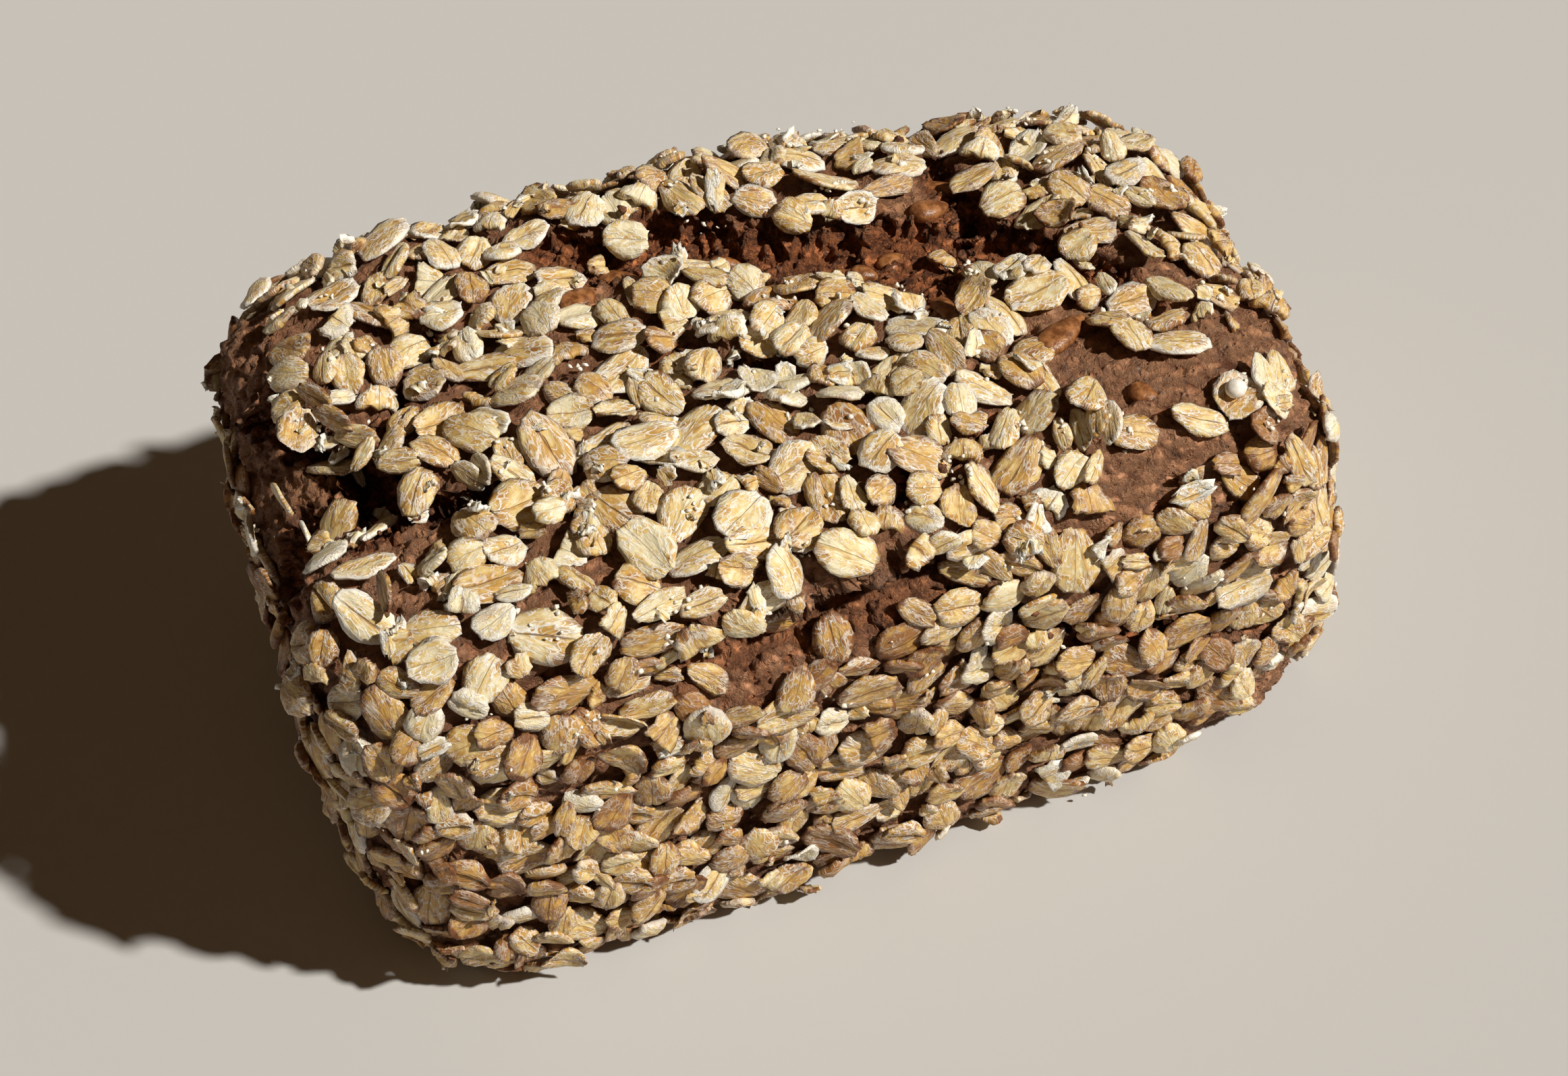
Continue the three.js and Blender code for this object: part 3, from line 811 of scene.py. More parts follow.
def crustPaint():
    look, s = crustLook, Paint("ryeCrust")
    spot = s.spot()
    torn = s.attribute("torn")
    broad, middle = s.noise(spot, 0.07), s.noise(spot, 0.30, 5.0, 0.70)
    fine, grit = s.noise(spot, 1.3, 6.0, 0.72), s.noise(spot, 3.6, 4.0, 0.7)
    drawn = s.vector(middle * 5, fine * 2.4, grit * 1.2)
    knobs = s.cells(s.node("ShaderNodeVectorMath", {"operation": "ADD"}, {0: spot, 1: drawn}), 0.42)
    pores = 1 - s.cells(spot, 0.55).step(0.08, 0.26)
    pits = 1 - s.cells(spot, 1.5).step(0.10, 0.34)
    raised = middle * 0.8 + fine * 0.7 - knobs * 0.45 + 0.02
    crust = s.mix(raised.step(0.22, 0.60), look["crustDark"], look["crustLight"])
    crust = s.mix(s.noise(spot, 0.45, 3.0, 0.6).step(0.50, 0.68) * 0.60, crust, look["mauve"])
    crust = s.mix((grit * 0.6 + fine * 0.6 - 0.1).step(0.54, 0.70) * 0.7, crust, look["crustPale"])
    raised = fine * 0.8 + middle * 0.5 - knobs * 0.3 + 0.02
    crumb = s.mix(raised.step(0.34, 0.70), look["crumbDark"], look["crumbLight"])
    crumb = s.mix((grit * 0.7 + fine * 0.5 - 0.1).step(0.54, 0.72) * 0.7, crumb, look["crumbPale"])
    # Painted shade: the crust where the flakes lie, away from the open patches, is darkened 42% towards
    # crustDark (half as much on the open patches). This stands in for the shade between the flakes.
    crust = s.mix(1 - s.attribute("open") * 0.5, crust, s.mix(0.42, crust, look["crustDark"]))
    colour = s.mix(torn, crust, crumb)
    # Painted shade: the pores and pits, hollows of the bump, are darkened towards the near-black pore colour,
    # more strongly where the bread is torn.
    colour = s.mix((pores * 0.7 + pits * 0.2).step(0.0, 1.0) * (0.5 + torn * 0.35), colour, look["pore"])
    dust = s.noise(spot, 0.9, 6.0, 0.75).step(0.56, 0.68) * broad.step(0.44, 0.60) * (1 - torn)
    colour = s.mix(dust * grit.step(0.40, 0.55) * 0.45, colour, look["flour"])
    height = fine * 0.55 + grit * 0.12 + middle * 1.2 - knobs * 0.9 - pores * 0.3 - pits * 0.06
    return s.finish(Base_Color=colour, Roughness=look["roughness"] - 0.3 * (fine - 0.5),
                    Normal=s.bump(height, look["bump"], 0.0022))


oatLook = {
    "gold": (0.55, 0.315, 0.078), "straw": (0.73, 0.540, 0.222), "cream": (0.82, 0.735, 0.510),
    "brown": (0.32, 0.140, 0.038), "white": (0.95, 0.940, 0.890), "toast": (0.18, 0.066, 0.018),
    # crease is the dark brown of a flake's crease core: partly the flake's own brown line and partly painted
    # shade in the crease's valley
    "crease": (0.27, 0.115, 0.032),
    "roughness": 0.50, "bump": 0.8,
}


def oatPaint():
    look, s = oatLook, Paint("rolledOats")
    mark = s.attribute("flakeSpot", "Vector")
    tone, given = s.attribute("tone"), s.attribute("toast")
    toast, floury = given.sum("MAXIMUM", given, 0.0), (given * -1.6).step(0.0, 1.0)
    u, v, size = s.part(mark, "X"), s.part(mark, "Y"), s.part(mark, "Z")
    out, half = abs(v), v.step(-0.02, 0.02)
    fan = s.vector((out - u * 0.26) * size * 2.6 + tone * 37, (u + out * 0.3) * size * 1.1 + half * 7,
                   tone * 71)
    spot = s.vector(u * size * 1.3 + tone * 19, v * size * 1.1, tone * 43)
    folds, hairs = s.noise(fan, 0.8, 2.0, 0.45, 0.8), s.noise(fan, 1.7, 2.0, 0.5, 0.8)
    patch, grit = s.noise(spot, 1.5, 3.0, 0.55), s.noise(spot, 9.0, 4.0, 0.65)
    net = s.vector((u * size + folds * 0.9) * 1.2 + tone * 29,
                   ((out - u * 0.24) * size + hairs * 0.30) * 2.2, tone * 53 + half * 5)
    radius = (u * u + v * v) ** 0.5
    veined = (patch * 0.7 + hairs * 0.3 + (radius - 0.6) * 0.16).step(0.42, 0.52)
    streak = (1 - abs(hairs - 0.47) * 44).step(0.0, 0.6) + (1 - abs(folds - 0.52) * 52).step(0.0, 0.6)
    netted = (1 - s.cells(net, 1.6, "DISTANCE_TO_EDGE").step(0.02, 0.11)) * veined * 0.75
    vein = netted.sum("MAXIMUM", netted, streak * (0.25 + 0.75 * veined))
    rim = (radius + (grit - 0.5) * 0.6 + (patch - 0.5) * 0.5).step(0.80, 0.98)
    bent = abs(v + (folds - 0.5) * 0.34)
    reachIn = 1 - abs(u + (hairs - 0.5) * 0.8).step(0.45, 0.85)
    fold, foldCore = (1 - bent * 5).step(0.0, 1.0) * reachIn, (1 - bent * 16).step(0.0, 0.7) * reachIn
    rimWarm = (radius + (patch - 0.5) * 1.2).step(0.60, 1.08)
    powder = floury * (patch * 0.7 + grit * 0.5 + hairs * 0.3 + radius * 0.26).step(0.88, 0.98)
    warmth = toast * 1.1 + (tone - 0.5) * 0.6 + (patch - 0.5) * 2.8 + (folds - 0.5) * 2.2
    warmth = warmth + (hairs - 0.5) * 0.8 + rimWarm * 0.28 + 0.34
    colour = s.mix(warmth.step(-0.10, 0.34), look["cream"], look["straw"])
    colour = s.mix(warmth.step(0.42, 0.86), colour, look["gold"])
    colour = s.mix(warmth.step(0.95, 1.65), colour, look["brown"])
    creased = (tone * 3.7).wrap().step(0.42, 0.70)
    # Partly the flake's own browner fold and partly painted shade: the wide band along the crease's valley is
    # tinted towards gold.
    colour = s.mix(fold * creased * 0.55, colour, look["gold"])
    colour = s.mix(vein * 0.95 * (1 - toast * 0.6), colour, look["white"])
    browned = (radius + (grit - 0.5) * 0.5 + (patch - 0.5) * 1.0).step(0.90, 1.12)
    browned = browned * (tone * 5.1).wrap().step(0.20, 0.60)
    colour = s.mix(browned * (0.55 + toast * 0.45), colour, look["toast"])
    tips = (abs(u) + (patch - 0.5) * 1.5 + toast * 0.40).step(1.02, 1.40)
    colour = s.mix(tips * (0.50 + toast * 0.5), colour, look["toast"])
    # Partly the flake's own brown line and partly painted shade: the narrow core of the crease is darkened to
    # the crease colour.
    colour = s.mix(foldCore * creased * (0.50 + toast * 0.3), colour, look["crease"])
    rim = rim * (tone * 7.3).wrap().step(0.50, 0.75) * (1 - toast.step(0.15, 0.55))
    colour = s.mix(rim * 0.85, colour, look["white"])
    colour = s.mix(powder, colour, look["white"])
    height = folds * 0.55 + hairs * 0.22 + grit * 0.05 + vein * 0.07
    height = height - foldCore * creased * 0.22 + powder * grit * 0.25
    return s.finish(Base_Color=colour, Roughness=look["roughness"] + powder * 0.4,
                    Normal=s.bump(height, look["bump"], 0.0010))


def plainPaint(name, dark, light, scale, roughness, bump=0.4):
    s = Paint(name)
    spot = s.spot()
    fine = s.noise(spot, scale, 4.0, 0.6)
    colour = s.mix(fine.step(0.35, 0.68), dark, light)
    return s.finish(Base_Color=colour, Roughness=roughness, Normal=s.bump(fine, bump, 0.0005))


paints = {
    "crust": crustPaint(),
    "oats": oatPaint(),
    "flour": plainPaint("floury", (0.86, 0.81, 0.70), (0.96, 0.94, 0.90), 1.4, 0.85, 0.2),
    "crumb": plainPaint("ryeCrumb", (0.05, 0.016, 0.008), (0.25, 0.095, 0.040), 1.6, 0.8, 0.8),
    "seed": plainPaint("pumpkinSeed", (0.150, 0.050, 0.016), (0.40, 0.170, 0.060), 0.7, 0.38, 0.5),
}
body.data.materials.append(paints["crust"])
print("paints", len(paints))

layingPlan = {
    "seed": 41, "tries": 9000, "spins": 3, "floury": 0.10, "tilted": 0.04,
    "tornMost": 0.42,  # no flake of the rule lies where the bread is torn by more than this
    "rests": (0.48, 0.46),  # share of the length and the width of a flake that rests, each way
    "toast": (1.1, 3.2), "sideToast": (0.4, 0.30), "toastMost": 1.2,
    "floorGap": 1.6, "clear": 1.1, "lifted": 3.0,  # lowest middle, gap to the floor, most that one is raised
    "top": {"follow": 0.85, "steepest": 0.75, "seat": 80, "lift": 0.10, "jitter": 0.22, "bridge": 1.6,
            "poke": 0.4},
    "side": {"follow": 0.8, "steepest": 0.45, "seat": 78, "lift": -0.15, "jitter": 0.18, "bridge": 1.6,
             "poke": 0.5},
    "overlap": {"whole": (0.27, 0.36), "bit": (0.32, 0.46)},  # share that may lie on others: top, sides
}
placedFlakes = [  # x, y, heading, length, width, kind: those that stand out on the top
    (-37, -14, -72, 12.0, 7.4, "whole5"), (-42, -17, -54, 7.6, 4.4, "slim1"),
    (-43, -23, 8, 9.4, 8.2, "whole3"), (-50, -24, -67, 9.1, 6.6, "whole8"),
    (-38, -2, -38, 9.1, 6.8, "whole2"), (-43, -6, -47, 9.2, 5.2, "whole7"),
    (-28, 2, -85, 9.6, 6.2, "half2"), (-34, 7, -30, 10.4, 6.8, "whole1"), (-36, 13, 0, 9.0, 6.7, "whole6"),
    (-33, 19, 70, 7.9, 7.0, "whole4"), (-43, 24, 29, 8.6, 5.4, "slim1"), (-41, 6, -16, 10.2, 5.1, "slim1"),
    (-25, 11, 15, 7.6, 7.0, "whole5"), (-55, 24, -43, 8.5, 5.6, "whole8"),
    (-64, 35, 44, 9.2, 7.2, "whole2"), (-59, 30, 19, 9.0, 7.0, "whole6"),
    (-67, 22, -54, 9.5, 7.6, "whole4"), (-61, 18, 33, 7.8, 4.5, "lobe1"), (-58, 15, -78, 7.3, 4.2, "half1"),
    (-67, 3, -33, 9.6, 5.0, "slim1"), (-70, -7, 31, 8.2, 5.8, "whole8"), (-71, -14, -17, 5.4, 3.8, "chip1"),
    (-68, -14, 67, 7.3, 2.6, "sliver1"), (-64, -14, 50, 8.0, 3.8, "lobe1"),
    (-67, -23, 4, 9.4, 4.8, "whole7"), (-55, -25, 4, 6.5, 4.6, "half2"),
    (-51, -35, 14, 10.5, 7.4, "whole3"), (-43, -37, -83, 9.4, 5.6, "half2"),
    (-61, -28, -69, 5.0, 2.8, "chip1"), (-60, -38, -16, 8.2, 6.0, "whole1"),
    (-68, -33, -62, 9.6, 6.6, "whole7"), (-46, -43, -30, 11.2, 7.9, "whole5"),
    (-50, 6, -50, 8.0, 6.6, "whole6"), (-50, -2, 10, 8.6, 7.0, "bent1"), (-28, -16, 14, 9.6, 5.6, "whole7"),
    (-21, -23, -57, 9.0, 5.2, "boat1"), (-30, -28, -59, 9.6, 7.2, "whole1"),
    (-21, -33, 53, 9.7, 7.2, "whole4"), (-15, -19, 29, 10.2, 7.2, "whole1"),
    (-9, -12, -7, 9.2, 6.6, "whole2"), (-3, -21, -64, 9.8, 6.4, "whole8"),
    (-3, -30, 20, 8.8, 7.2, "whole2"), (6, -26, -88, 10.6, 7.6, "whole5"),
    (16, -17, 46, 9.2, 7.0, "whole3"), (15, -35, -30, 10.2, 7.0, "whole2"),
    (-6, -39, -81, 8.6, 5.3, "slim1"), (0, -36, -88, 9.6, 6.4, "whole3"),
    (47, -38, -24, 8.0, 5.6, "whole2"), (57, -38, -26, 9.2, 5.2, "whole7"),
    (64, -36, 30, 8.0, 7.6, "boat1"), (54, -44, -26, 6.0, 4.6, "half1"), (61, -44, -62, 8.4, 4.8, "lobe1"),
    (59, -25, -13, 9.2, 6.4, "whole1"), (53, -22, 98, 8.0, 6.0, "whole2"),
    (34, -32, 20, 8.0, 6.4, "whole8"), (37, -25, -85, 8.4, 5.4, "whole7"),
    (49, -8, 113, 8.6, 6.0, "whole1"), (37, -12, 118, 8.0, 6.4, "whole1"), (37, -1, 90, 8.8, 5.4, "whole2"),
    (28, -25, 150, 9.6, 5.6, "whole3"), (25, -18, -81, 9.6, 5.0, "slim1"),
    (72, -31, -105, 8.4, 5.6, "whole4"), (56, -14, 8, 8.7, 5.9, "whole2"), (35, 10, 25, 9.0, 4.2, "half2"),
    (20, 27, -6, 11.6, 8.2, "whole6"), (47, 16, 16, 8.0, 7.4, "whole2"), (51, 11, 23, 8.8, 6.6, "whole3"),
    (57, 3, -12, 8.2, 5.0, "slim1"), (62, -4, -86, 9.4, 4.2, "slim1"), (62, -15, -67, 8.8, 4.9, "whole7"),
    (54, -10, -97, 7.0, 2.8, "lobe1"), (69, -16, -20, 7.4, 4.4, "slim1"),
    (65, -21, -109, 8.2, 3.6, "half2"), (77, -14, 55, 9.5, 6.4, "whole6"),
    (77, -22, -61, 6.8, 5.4, "half1"), (69, -22, -60, 4.2, 3.3, "chip1"), (59, -43, -31, 6.6, 3.6, "chip1"),
    (73, -41, -74, 9.6, 4.8, "slim1"), (36, -36, -94, 6.2, 2.8, "lobe1"), (26, -31, -36, 4.3, 2.9, "chip1"),
    (63, 18, -69, 8.0, 4.8, "slim1"), (62, 11, -53, 8.2, 6.0, "whole1"), (71, 17, -79, 8.2, 7.4, "whole6"),
    (73, 3, -15, 9.6, 7.2, "whole4"), (71, -6, -62, 7.4, 6.2, "whole8"), (78, -3, 11, 6.6, 4.6, "chip1"),
    (56, 19, 22, 5.4, 4.6, "small1"), (56, 8, -7, 6.0, 4.4, "slim1"), (-12, 40, -17, 7.4, 6.6, "slim1"),
    (-20, 37, -56, 5.5, 4.2, "chip1"), (-27, 33, 11, 7.6, 5.6, "whole7"), (-32, 26, -7, 9.1, 6.1, "whole2"),
    (-25, 22, -1, 8.4, 6.2, "whole3"), (-17, 25, -1, 5.5, 4.4, "half1"), (-5, 16, -7, 9.2, 4.7, "whole7"),
    (5, 12, -44, 6.6, 5.2, "piece1"), (-15, 13, -90, 8.6, 3.2, "slim1"), (-4, 11, -48, 8.2, 4.0, "lobe1"),
    (4, 4, 28, 9.4, 7.2, "whole5"), (14, 1, -11, 7.4, 6.4, "whole8"), (19, 4, 5, 6.4, 5.0, "half2"),
    (-2, 30, -68, 9.4, 5.5, "whole7"), (2, 29, -64, 8.2, 4.2, "slim1"), (5, 31, -39, 8.2, 4.0, "slim1"),
    (9, 26, -31, 7.6, 5.1, "whole8"), (18, 35, -10, 9.0, 6.8, "whole1"), (28, 33, -7, 8.8, 6.4, "half1"),
    (30, 24, 12, 9.6, 3.8, "slim1"), (2, 43, -6, 6.8, 5.0, "whole8"),
]
placedInFront = [  # x, z, heading in the face, length, width, kind: those about the band
    (-21, 76, 14, 9.0, 6.0, "whole1"), (-13, 75.5, -16, 9.6, 5.6, "whole7"),
    (-6, 75, 60, 8.0, 6.6, "whole3"), (-31, 76, -50, 7.6, 7.0, "whole8"), (-29, 74, 11, 8.4, 4.4, "slim1"),
    (-23, 73.5, 6, 7.2, 4.0, "lobe1"), (-31, 71.5, -3, 9.6, 5.4, "whole2"),
    (-25, 69, -78, 10.2, 7.8, "half1"), (-32, 67, -38, 7.2, 3.6, "chip1"),
    (-12, 65, -14, 7.0, 5.2, "small1"), (-5, 60, -90, 8.2, 6.0, "whole5"),
    (-14, 71.5, 8, 8.2, 6.0, "whole4"), (5, 57, 14, 9.2, 7.0, "whole1"), (8, 61, -46, 6.6, 4.0, "lobe1"),
    (14, 60, -14, 8.0, 6.2, "whole5"), (17, 68.5, -12, 6.6, 5.0, "small2"),
    (16.5, 64, -24, 8.0, 4.2, "slim1"), (21, 59, -8, 7.4, 6.4, "whole8"), (-1, 48, 8, 9.4, 6.8, "whole4"),
    (4, 43, -5, 8.6, 7.4, "whole2"), (8, 47.5, 48, 7.2, 4.6, "slim1"), (-9, 57, 33, 7.0, 4.2, "lobe1"),
    (-6, 52, -72, 7.6, 4.6, "piece1"), (-2, 54, -12, 6.6, 4.6, "small1"), (-15, 52, -6, 9.8, 6.6, "whole6"),
    (13, 51, -25, 8.0, 4.6, "half2"), (13, 43.5, 0, 7.2, 5.8, "whole3"), (12, 38, -28, 7.0, 6.0, "small1"),
    (19, 36, -66, 9.2, 5.8, "whole2"), (-36, 65, 10, 7.4, 4.2, "slim1"), (-34, 61, 8, 8.2, 4.4, "whole7"),
    (-28, 58, -60, 7.2, 4.8, "whole8"), (-24, 60.5, -50, 7.0, 4.4, "whole4"),
    (-21, 55, 12, 8.0, 3.6, "lobe1"), (70, 60, -84, 9.6, 4.6, "slim1"),
]
standing = [  # x, y, heading, length of the flakes that stand on edge
    (39, -36, -95, 7.0), (41, -36, -104, 6.8), (43, -37, -106, 7.2), (-59, 2, -30, 7.6), (-62, 5, -50, 7.8),
    (-55, -6, -20, 7.0), (-65, 10, -55, 7.4), (-64, -32, -94, 8.0), (-76, 1, -71, 8.0), (-76, -6, -85, 7.4),
    (-48, -14, -60, 6.8), (-46, -15, -80, 6.0),
]


def layFlakes():
    plan = layingPlan
    rng = np.random.default_rng(plan["seed"])
    keep = bodySpots[:, 2] > loafForm["footTrim"] + 0.05
    even, evenN, torn = evenSpots[keep], evenNormals[keep], tornShare[keep]
    pile = Pile(bodySpots[keep], bodyNormals[keep], bodyAreas[keep], evenN, torn)
    bare = isOpen(even) | (torn > plan["tornMost"]) | (even[:, 2] < plan["floorGap"])
    sides = smooth(0.35, 0.75, np.abs(evenN[:, :2]).max(1)) * smooth(76, 66, even[:, 2])
    kinds = {**flakeKinds, **bitKinds}
    laid = []

    # Toast is how browned a flake is, and below 0 how floury.
    def put(i, kind, spins, stretch, overlap, extra=None):
        long, wide, puff = kinds[kind][:3]
        side = sides[i] > 0.5
        look = dict(plan["side" if side else "top"], overlap=overlap)
        look["lean"] = rng.normal(0, look["jitter"], 2)
        look.update(extra or {})
        half = (long * stretch[0] * plan["rests"][0], wide * stretch[1] * plan["rests"][1])
        where = pile.lay(i, spins, half, puff * stretch[2], look)
        if where is None:
            return
        spot, t1, t2, up = where
        floor = plan["clear"] + loafForm["footTrim"]
        drop = 1.45 * math.hypot(t1[2] * half[0], t2[2] * half[1]) + floor - spot[2]
        if drop > plan["lifted"]:
            return
        spot[2] += max(0, drop)
        more, added = (share * sides[i] for share in plan["sideToast"])
        toast = np.clip(rng.beta(*plan["toast"]) * (1 + more) + added, 0, plan["toastMost"])
        if overlap < 1 and rng.random() < plan["floury"]:
            toast = -rng.uniform(0.2, 0.45)
        laid.append({"spot": spot, "axes": (t1, t2, up), "stretch": stretch, "kind": kind,
                     "tone": rng.random(), "toast": float(toast), "side": side})

    # The topmost spot of the crust over a place in plan.
    def onTop(x, y):
        off = (even[:, 0] - x) ** 2 + (even[:, 1] - y) ** 2 + np.maximum(0, 60 - even[:, 2]) ** 2
        return int(np.argmin(off))

    def inFront(x, z):
        off = (even[:, 0] - x) ** 2 + (even[:, 2] - z) ** 2 + np.maximum(0, even[:, 1]) ** 2
        return int(np.argmin(off))

    # A flake of a known length and width, with its heading towards y (1) or up (2).
    def putKnown(i, kind, heading, towards, long, wide, extra=None):
        stretch = (long / kinds[kind][0], wide / kinds[kind][1], 1.0)
        put(i, kind, [spinTo(pile.normal[i], heading, towards)], stretch, 1, extra)

    for x, y, heading, long, wide, kind in placedFlakes:
        putKnown(onTop(x, y), kind, heading, 1, long, wide)
    for x, z, heading, long, wide, kind in placedInFront:
        putKnown(inFront(x, z), kind, heading, 2, long, wide, {"lift": 0.1} if 58 < z < 72 else None)
    onEdge = {"lean": np.array([0, 1.3]), "steepest": 1.6, "lift": 0.2, "follow": 0.3}
    for x, y, heading, long in standing:
        i = onTop(x, y)
        put(i, "lobe1", [spinTo(pile.normal[i], heading)], (long / kinds["lobe1"][0], 1.1, 0.8), 1, onEdge)
    for spot, spin, size in zip(*largePlaces()):
        i = nearest(even, spot)
        grow = 1.0 + 0.14 * size
        if not isOpen(even[i][None])[0]:
            kind = ("whole1", "whole2", "whole4", "whole6")[rng.integers(4)]
            put(i, kind, [spin], (grow, grow, 1.1), 0.4)
    print("placed flakes", len(laid))
    chance = pile.area * ~bare
    for kindsNow, rule in ((flakeKinds, "whole"), (bitKinds, "bit")):
        names = sorted(kindsNow)
        share = np.array([kindsNow[k][-1] for k in names], float)
        for i in rng.choice(len(even), plan["tries"], replace=False, p=chance / chance.sum()):
            if pile.height[i] > pileLook["covered"]:
                continue
            side = sides[i] > 0.5
            kind = names[rng.choice(len(names), p=share / share.sum())]
            grow = rng.uniform(0.80, 1.04) * 0.92
            stretch = grow * rng.uniform(0.90, 1.02), grow * rng.uniform(0.98, 1.13), rng.uniform(0.9, 1.15)
            tilt = None
            if not side and rng.random() < plan["tilted"]:
                lean = unit(rng.normal(0, 1, 2)) * rng.uniform(0.4, 0.8)
                tilt = {"lean": lean, "steepest": 1.1, "lift": -0.8}
            spins = rng.uniform(0, math.pi, plan["spins"])
            put(i, kind, spins, stretch, plan["overlap"][rule][int(side)], tilt)
        print("flakes", len(laid), "of them on the sides", sum(q["side"] for q in laid))
    return pile, even, torn, laid, rng


pile, evenCells, tornCells, laid, draw = layFlakes()
topSide = evenCells[:, 2] > 62
lowSide = (evenCells[:, 2] > 5) & ~topSide
share = pile.area[topSide & (pile.height > pileLook["covered"])].sum() / pile.area[topSide].sum()
print("covered share of the top", round(share, 3))


def layKinds(name, kinds, chosen, stations):
    names = sorted(kinds)
    shapes = [flakeObject(key, kinds[key], stations) for key in names]
    layPieces(name, shapes, [dict(q, kind=names.index(q["kind"])) for q in chosen], paints["oats"])


layKinds("oatsOnTop", flakeKinds, [q for q in laid if q["kind"] in flakeKinds and not q["side"]], 9)
layKinds("oatsOnSides", flakeKinds, [q for q in laid if q["kind"] in flakeKinds and q["side"]], 9)
layKinds("oatBits", bitKinds, [q for q in laid if q["kind"] in bitKinds], 7)


def pick(where, count):
    return draw.choice(np.flatnonzero(where), count, p=pile.area[where] / pile.area[where].sum())


# Three axes at random, the last of them near the crust's own.
def anyAxes(i, spread):
    n = unit(pile.normal[i] + draw.normal(0, spread, 3))
    t1 = unit(np.cross(n, draw.normal(0, 1, 3)))
    return t1, np.cross(n, t1), n


def scatter(where, count, kinds, size, lift, spread, toast=0.0):
    places = []
    for i in pick(where, count):
        axes, grow = anyAxes(i, spread), draw.uniform(*size)
        places.append({"spot": pile.top(i, lift), "axes": axes, "kind": int(draw.integers(kinds)),
                       "stretch": (grow, grow * draw.uniform(0.6, 1.2), grow * draw.uniform(0.5, 1.1)),
                       "tone": draw.random(), "toast": toast})
    return places


def crumbObject(name, seed, detail, uneven=0.38):
    rng = np.random.default_rng(seed)
    built = bmesh.new()
    bmesh.ops.create_icosphere(built, subdivisions=detail, radius=0.46 * metre)
    for v in built.verts:
        v.co = v.co * float(1 + uneven * rng.uniform(-1, 1))
    mesh = bpy.data.meshes.new(name)
    built.to_mesh(mesh)
    built.free()
    mesh.polygons.foreach_set("use_smooth", [True] * len(mesh.polygons))
    return bpy.data.objects.new(name, mesh)


# White crumbs of broken flakes lie in small clusters against the flakes.
def flourSpots(where, clusters, most, size):
    places = []
    for i in pick(where, clusters):
        around = pile.near(pile.spot[i])
        around = around[farFrom(pile.spot[around], *pile.spot[i]) < draw.uniform(0.8, 2.6)]
        for j in draw.choice(around, int(draw.integers(2, most))):
            axes, grow = anyAxes(j, 0.5), draw.uniform(*size) * draw.uniform(0.6, 1.0)
            places.append({"spot": pile.top(j, 0.1), "axes": axes, "kind": int(draw.integers(6)),
                           "stretch": (grow * 1.3, grow, grow * draw.uniform(0.5, 0.9)),
                           "tone": draw.random(), "toast": 0.0})
    return places


# Six uneven crumbs, the last two of them rounder.
def crumbShapes(name, seed):
    return [crumbObject(name + str(k), seed + k, 2 if k > 3 else 1) for k in range(6)]


curlBall = {"at": (64, -36, 73), "high": 2.6, "stretch": (3.6, 3.4, 3.0)}  # pale ball held by a curled flake
grounds = {"top": (pile.height > 0.5) & topSide, "side": (pile.height > 0.4) & lowSide,
           "torn": (tornCells > 0.6) & (evenCells[:, 2] > 5)}
scraps = [  # where, how many, size, lift, how tilted, toast
    ("top", 40, (0.8, 1.1), 0.1, 0.35, 0.0), ("top", 140, (0.7, 1.6), 0.1, 0.42, -0.9),
    ("side", 50, (0.6, 1.0), 0.0, 0.35, 0.5), ("side", 30, (0.6, 1.1), 0.0, 0.35, -0.9),
]
held = nearest(evenCells, curlBall["at"])
flour = {"top": (170, 9, (0.4, 1.15)), "side": (100, 6, (0.4, 1.0))}  # clusters, most in one, size
looseCrumbs = {"count": 420, "size": (0.5, 1.8), "lift": -0.15, "spread": 1.05}
flourPlaces = flourSpots(grounds["top"], *flour["top"])
flourPlaces.append({"spot": pile.spot[held] + pile.normal[held] * curlBall["high"], "axes": np.eye(3),
                    "kind": 6, "stretch": curlBall["stretch"], "tone": 0.5, "toast": 0.0})
flourPlaces += flourSpots(grounds["side"], *flour["side"])
flourShapes = crumbShapes("flourBit", 80) + [crumbObject("flourBit6", 90, 3, 0.05)]
layPieces("flouryBits", flourShapes, flourPlaces, paints["flour"])
ragShapes = [flakeObject(key, ragKinds[key], 7, 0.4) for key in sorted(ragKinds)]
ragSpots = []
for ground, count, size, lift, spread, toast in scraps:
    ragSpots += scatter(grounds[ground], count, len(ragKinds), size, lift, spread, toast)
layPieces("flakeScraps", ragShapes, ragSpots, paints["oats"])
crumbSpots = scatter(grounds["torn"], kinds=6, **looseCrumbs)
layPieces("crumbs", crumbShapes("crumb", 60), crumbSpots, paints["crumb"])

seedLook = {
    "rings": 12, "sides": 18, "pointed": 0.35,
    "places": [  # x, y, z, heading, long, wide, thick, lift
        (40, 28, 76, -4, 12.5, 5.2, 3.2, 0.6), (-15, 21, 80, -35, 9.0, 5.0, 3.0, 0.5),
        (-23, 17, 80, 22, 7.2, 5.0, 2.6, 0.2), (44, -17, 76, 29, 10.5, 4.6, 2.6, -0.1),
        (30, -4, 77, -85, 11.0, 4.0, 3.2, 1.2), (17, 10, 78, 46, 5.6, 3.2, 2.6, 0.4),
        (21, 8, 78, -31, 4.6, 3.2, 2.6, 0.4), (27, 13, 77, 20, 5.2, 3.8, 2.6, 0.5),
        (36, 20, 76, 9, 6.8, 4.2, 2.8, 0.6), (2, 21, 79, -20, 5.4, 3.0, 2.4, 0.2),
        (52, -32, 75, -53, 5.4, 3.4, 2.0, -0.3), (-5, -48, 68.5, -20, 5.0, 3.2, 2.2, 0.1),
    ],
}


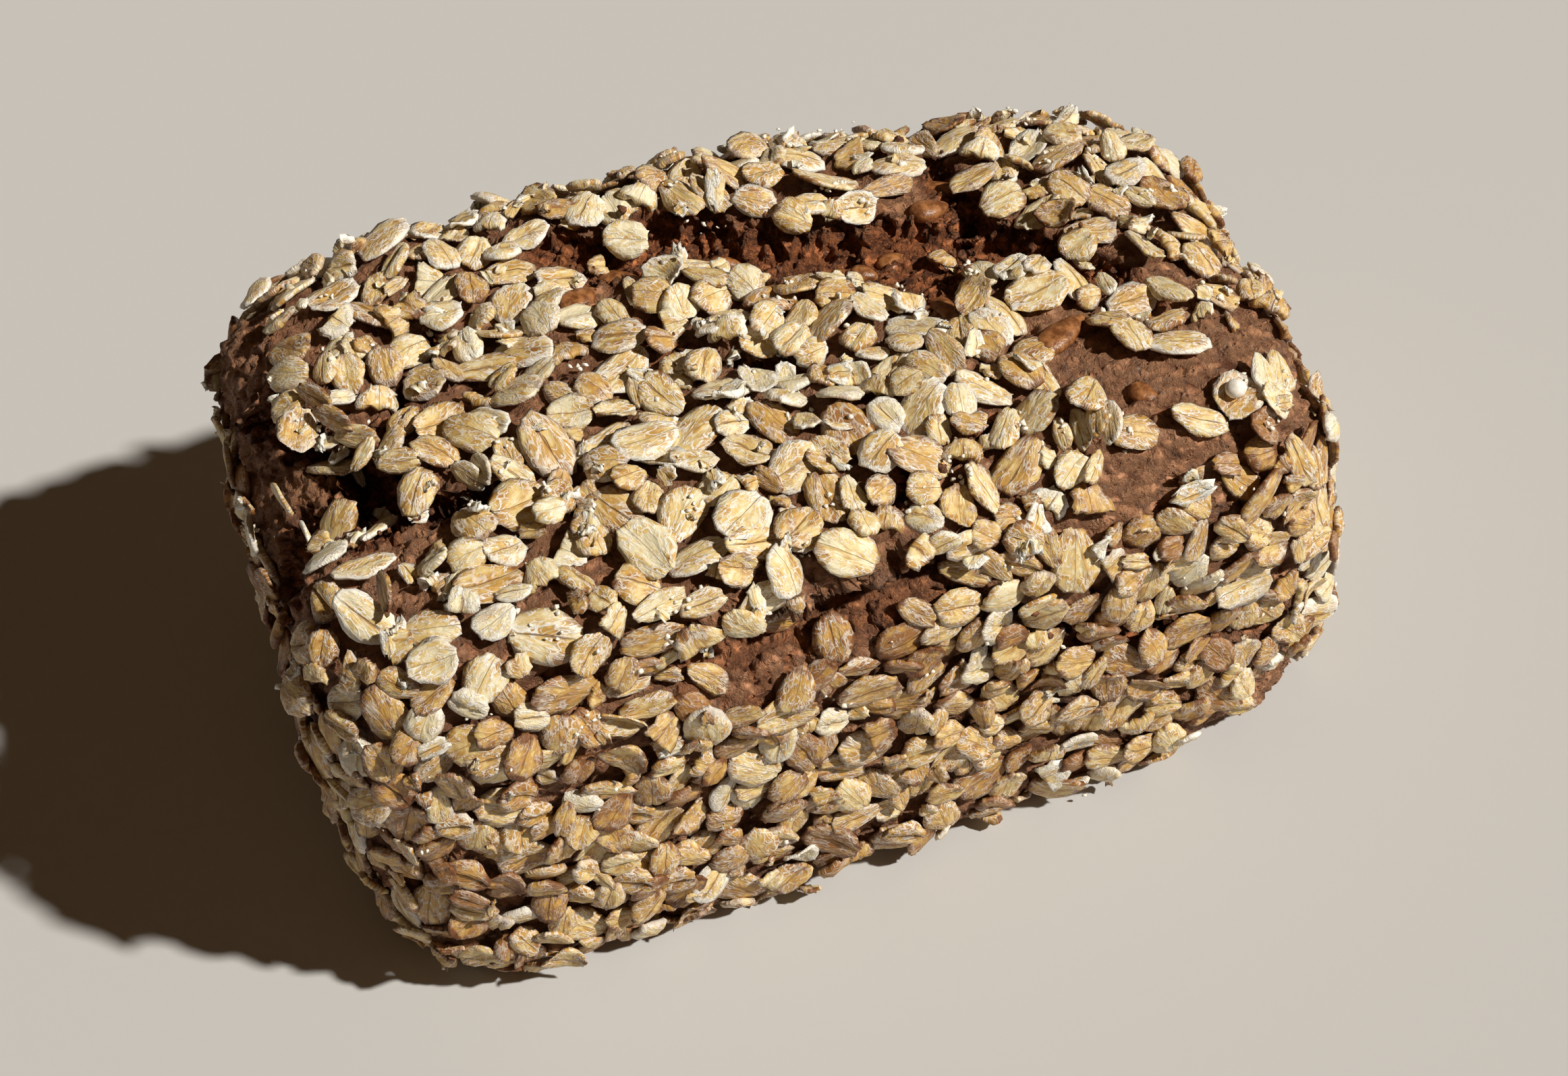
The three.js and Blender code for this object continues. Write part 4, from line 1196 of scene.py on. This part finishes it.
def buildSeeds():
    look, points, faces = seedLook, [], []
    rings, sides = look["rings"], look["sides"]
    for x, y, z, heading, long, wide, thick, lift in look["places"]:
        i = nearest(evenCells, (x, y, z))
        n = pile.normal[i]
        a, b = tangents(n)
        turn = spinTo(n, heading)
        t1 = math.cos(turn) * a + math.sin(turn) * b
        t2 = np.cross(n, t1)
        first = len(points)
        for r in range(rings + 1):
            s = -math.cos(math.pi * r / rings)
            width = math.sin(math.pi * r / rings) * (1 - look["pointed"] * s)
            for k in range(sides):
                turn = 2 * math.pi * k / sides
                flat, high = math.cos(turn) * width, math.sin(turn) * width
                high = lift + math.copysign(abs(high) ** 0.8, high) * thick / 2
                points.append(pile.spot[i] + n * high + t1 * s * long / 2 + t2 * flat * wide / 2)
        for r in range(rings):
            for k in range(sides):
                a0, b0 = first + r * sides + k, first + r * sides + (k + 1) % sides
                faces.append((a0, a0 + sides, b0 + sides, b0))
    seeds = newObject("seeds", newMesh("seeds", toFrame(np.array(points)), faces))
    built = bmesh.new()
    built.from_mesh(seeds.data)
    bmesh.ops.remove_doubles(built, verts=built.verts, dist=1e-7)
    bmesh.ops.recalc_face_normals(built, faces=built.faces)
    built.to_mesh(seeds.data)
    built.free()
    seeds.data.materials.append(paints["seed"])


buildSeeds()
pieceNames = ("loafBody", "oatsOnTop", "oatsOnSides", "oatBits", "flouryBits", "flakeScraps", "crumbs",
              "seeds")
for pieceName in pieceNames:
    piece = bpy.data.objects[pieceName]
    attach(piece, "root")
    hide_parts("loaf")

view = {
    "azimuth": -11.0, "elevation": 48.8, "roll": -9.4, "distance": 508.0,
    "aim": (-1.0, -3.0, 33.0), "focal": 4607.0, "pictureWidth": 2324.0,  # the last two in pixels
    "sensor": 36,
}


def addCamera():
    az, el, roll = (math.radians(view[k]) for k in ("azimuth", "elevation", "roll"))
    back = Vector((math.sin(az) * math.cos(el), -math.cos(az) * math.cos(el), math.sin(el)))
    right = (-back).cross(Vector((0, 0, 1))).normalized()
    up = right.cross(-back)
    turned = math.cos(roll) * right + math.sin(roll) * up
    upright = -math.sin(roll) * right + math.cos(roll) * up
    place = Vector(toFrame(np.array(view["aim"]))) + back * view["distance"] * metre
    camera = newObject("camera", bpy.data.cameras.new("camera"))
    rows = [(*row, place[k]) for k, row in enumerate(zip(turned, upright, back))]
    camera.matrix_world = Matrix(rows + [(0, 0, 0, 1)])
    camera.data.sensor_width = view["sensor"]
    camera.data.lens = view["focal"] / view["pictureWidth"] * view["sensor"]
    camera.data.clip_start = 0.01
    bpy.context.scene.camera = camera


studio = {
    "toSun": (0.605, -0.412, 0.68), "sunPower": 4.25, "sunColour": (1.0, 0.945, 0.84), "sunAngle": 2.5,
    "sky": (1.0, 0.60, 0.30), "skyPower": 0.060, "floor": (0.585, 0.587, 0.600),
    "floorReach": 4,  # metres each way
}


def addStudio():
    sun = newObject("sun", bpy.data.lights.new("sun", "SUN"))
    sun.data.energy, sun.data.color = studio["sunPower"], studio["sunColour"]
    sun.data.angle = math.radians(studio["sunAngle"])
    sun.rotation_euler = Vector(studio["toSun"]).to_track_quat("Z", "Y").to_euler()
    world = bpy.data.worlds.new("studio")
    world.use_nodes = True
    world.node_tree.nodes["Background"].inputs[0].default_value = (*studio["sky"], 1)
    world.node_tree.nodes["Background"].inputs[1].default_value = studio["skyPower"]
    bpy.context.scene.world = world
    far = studio["floorReach"]
    corners = [(-far, -far, 0), (far, -far, 0), (far, far, 0), (-far, far, 0)]
    floor = newObject("floor", newMesh("floor", corners, [(0, 1, 2, 3)]))
    paint = Paint("paleFloor")
    floor.data.materials.append(paint.finish(Base_Color=studio["floor"], Roughness=0.9))
    bpy.context.scene.view_settings.view_transform = "Standard"


addCamera()
addStudio()
print("camera and light set")
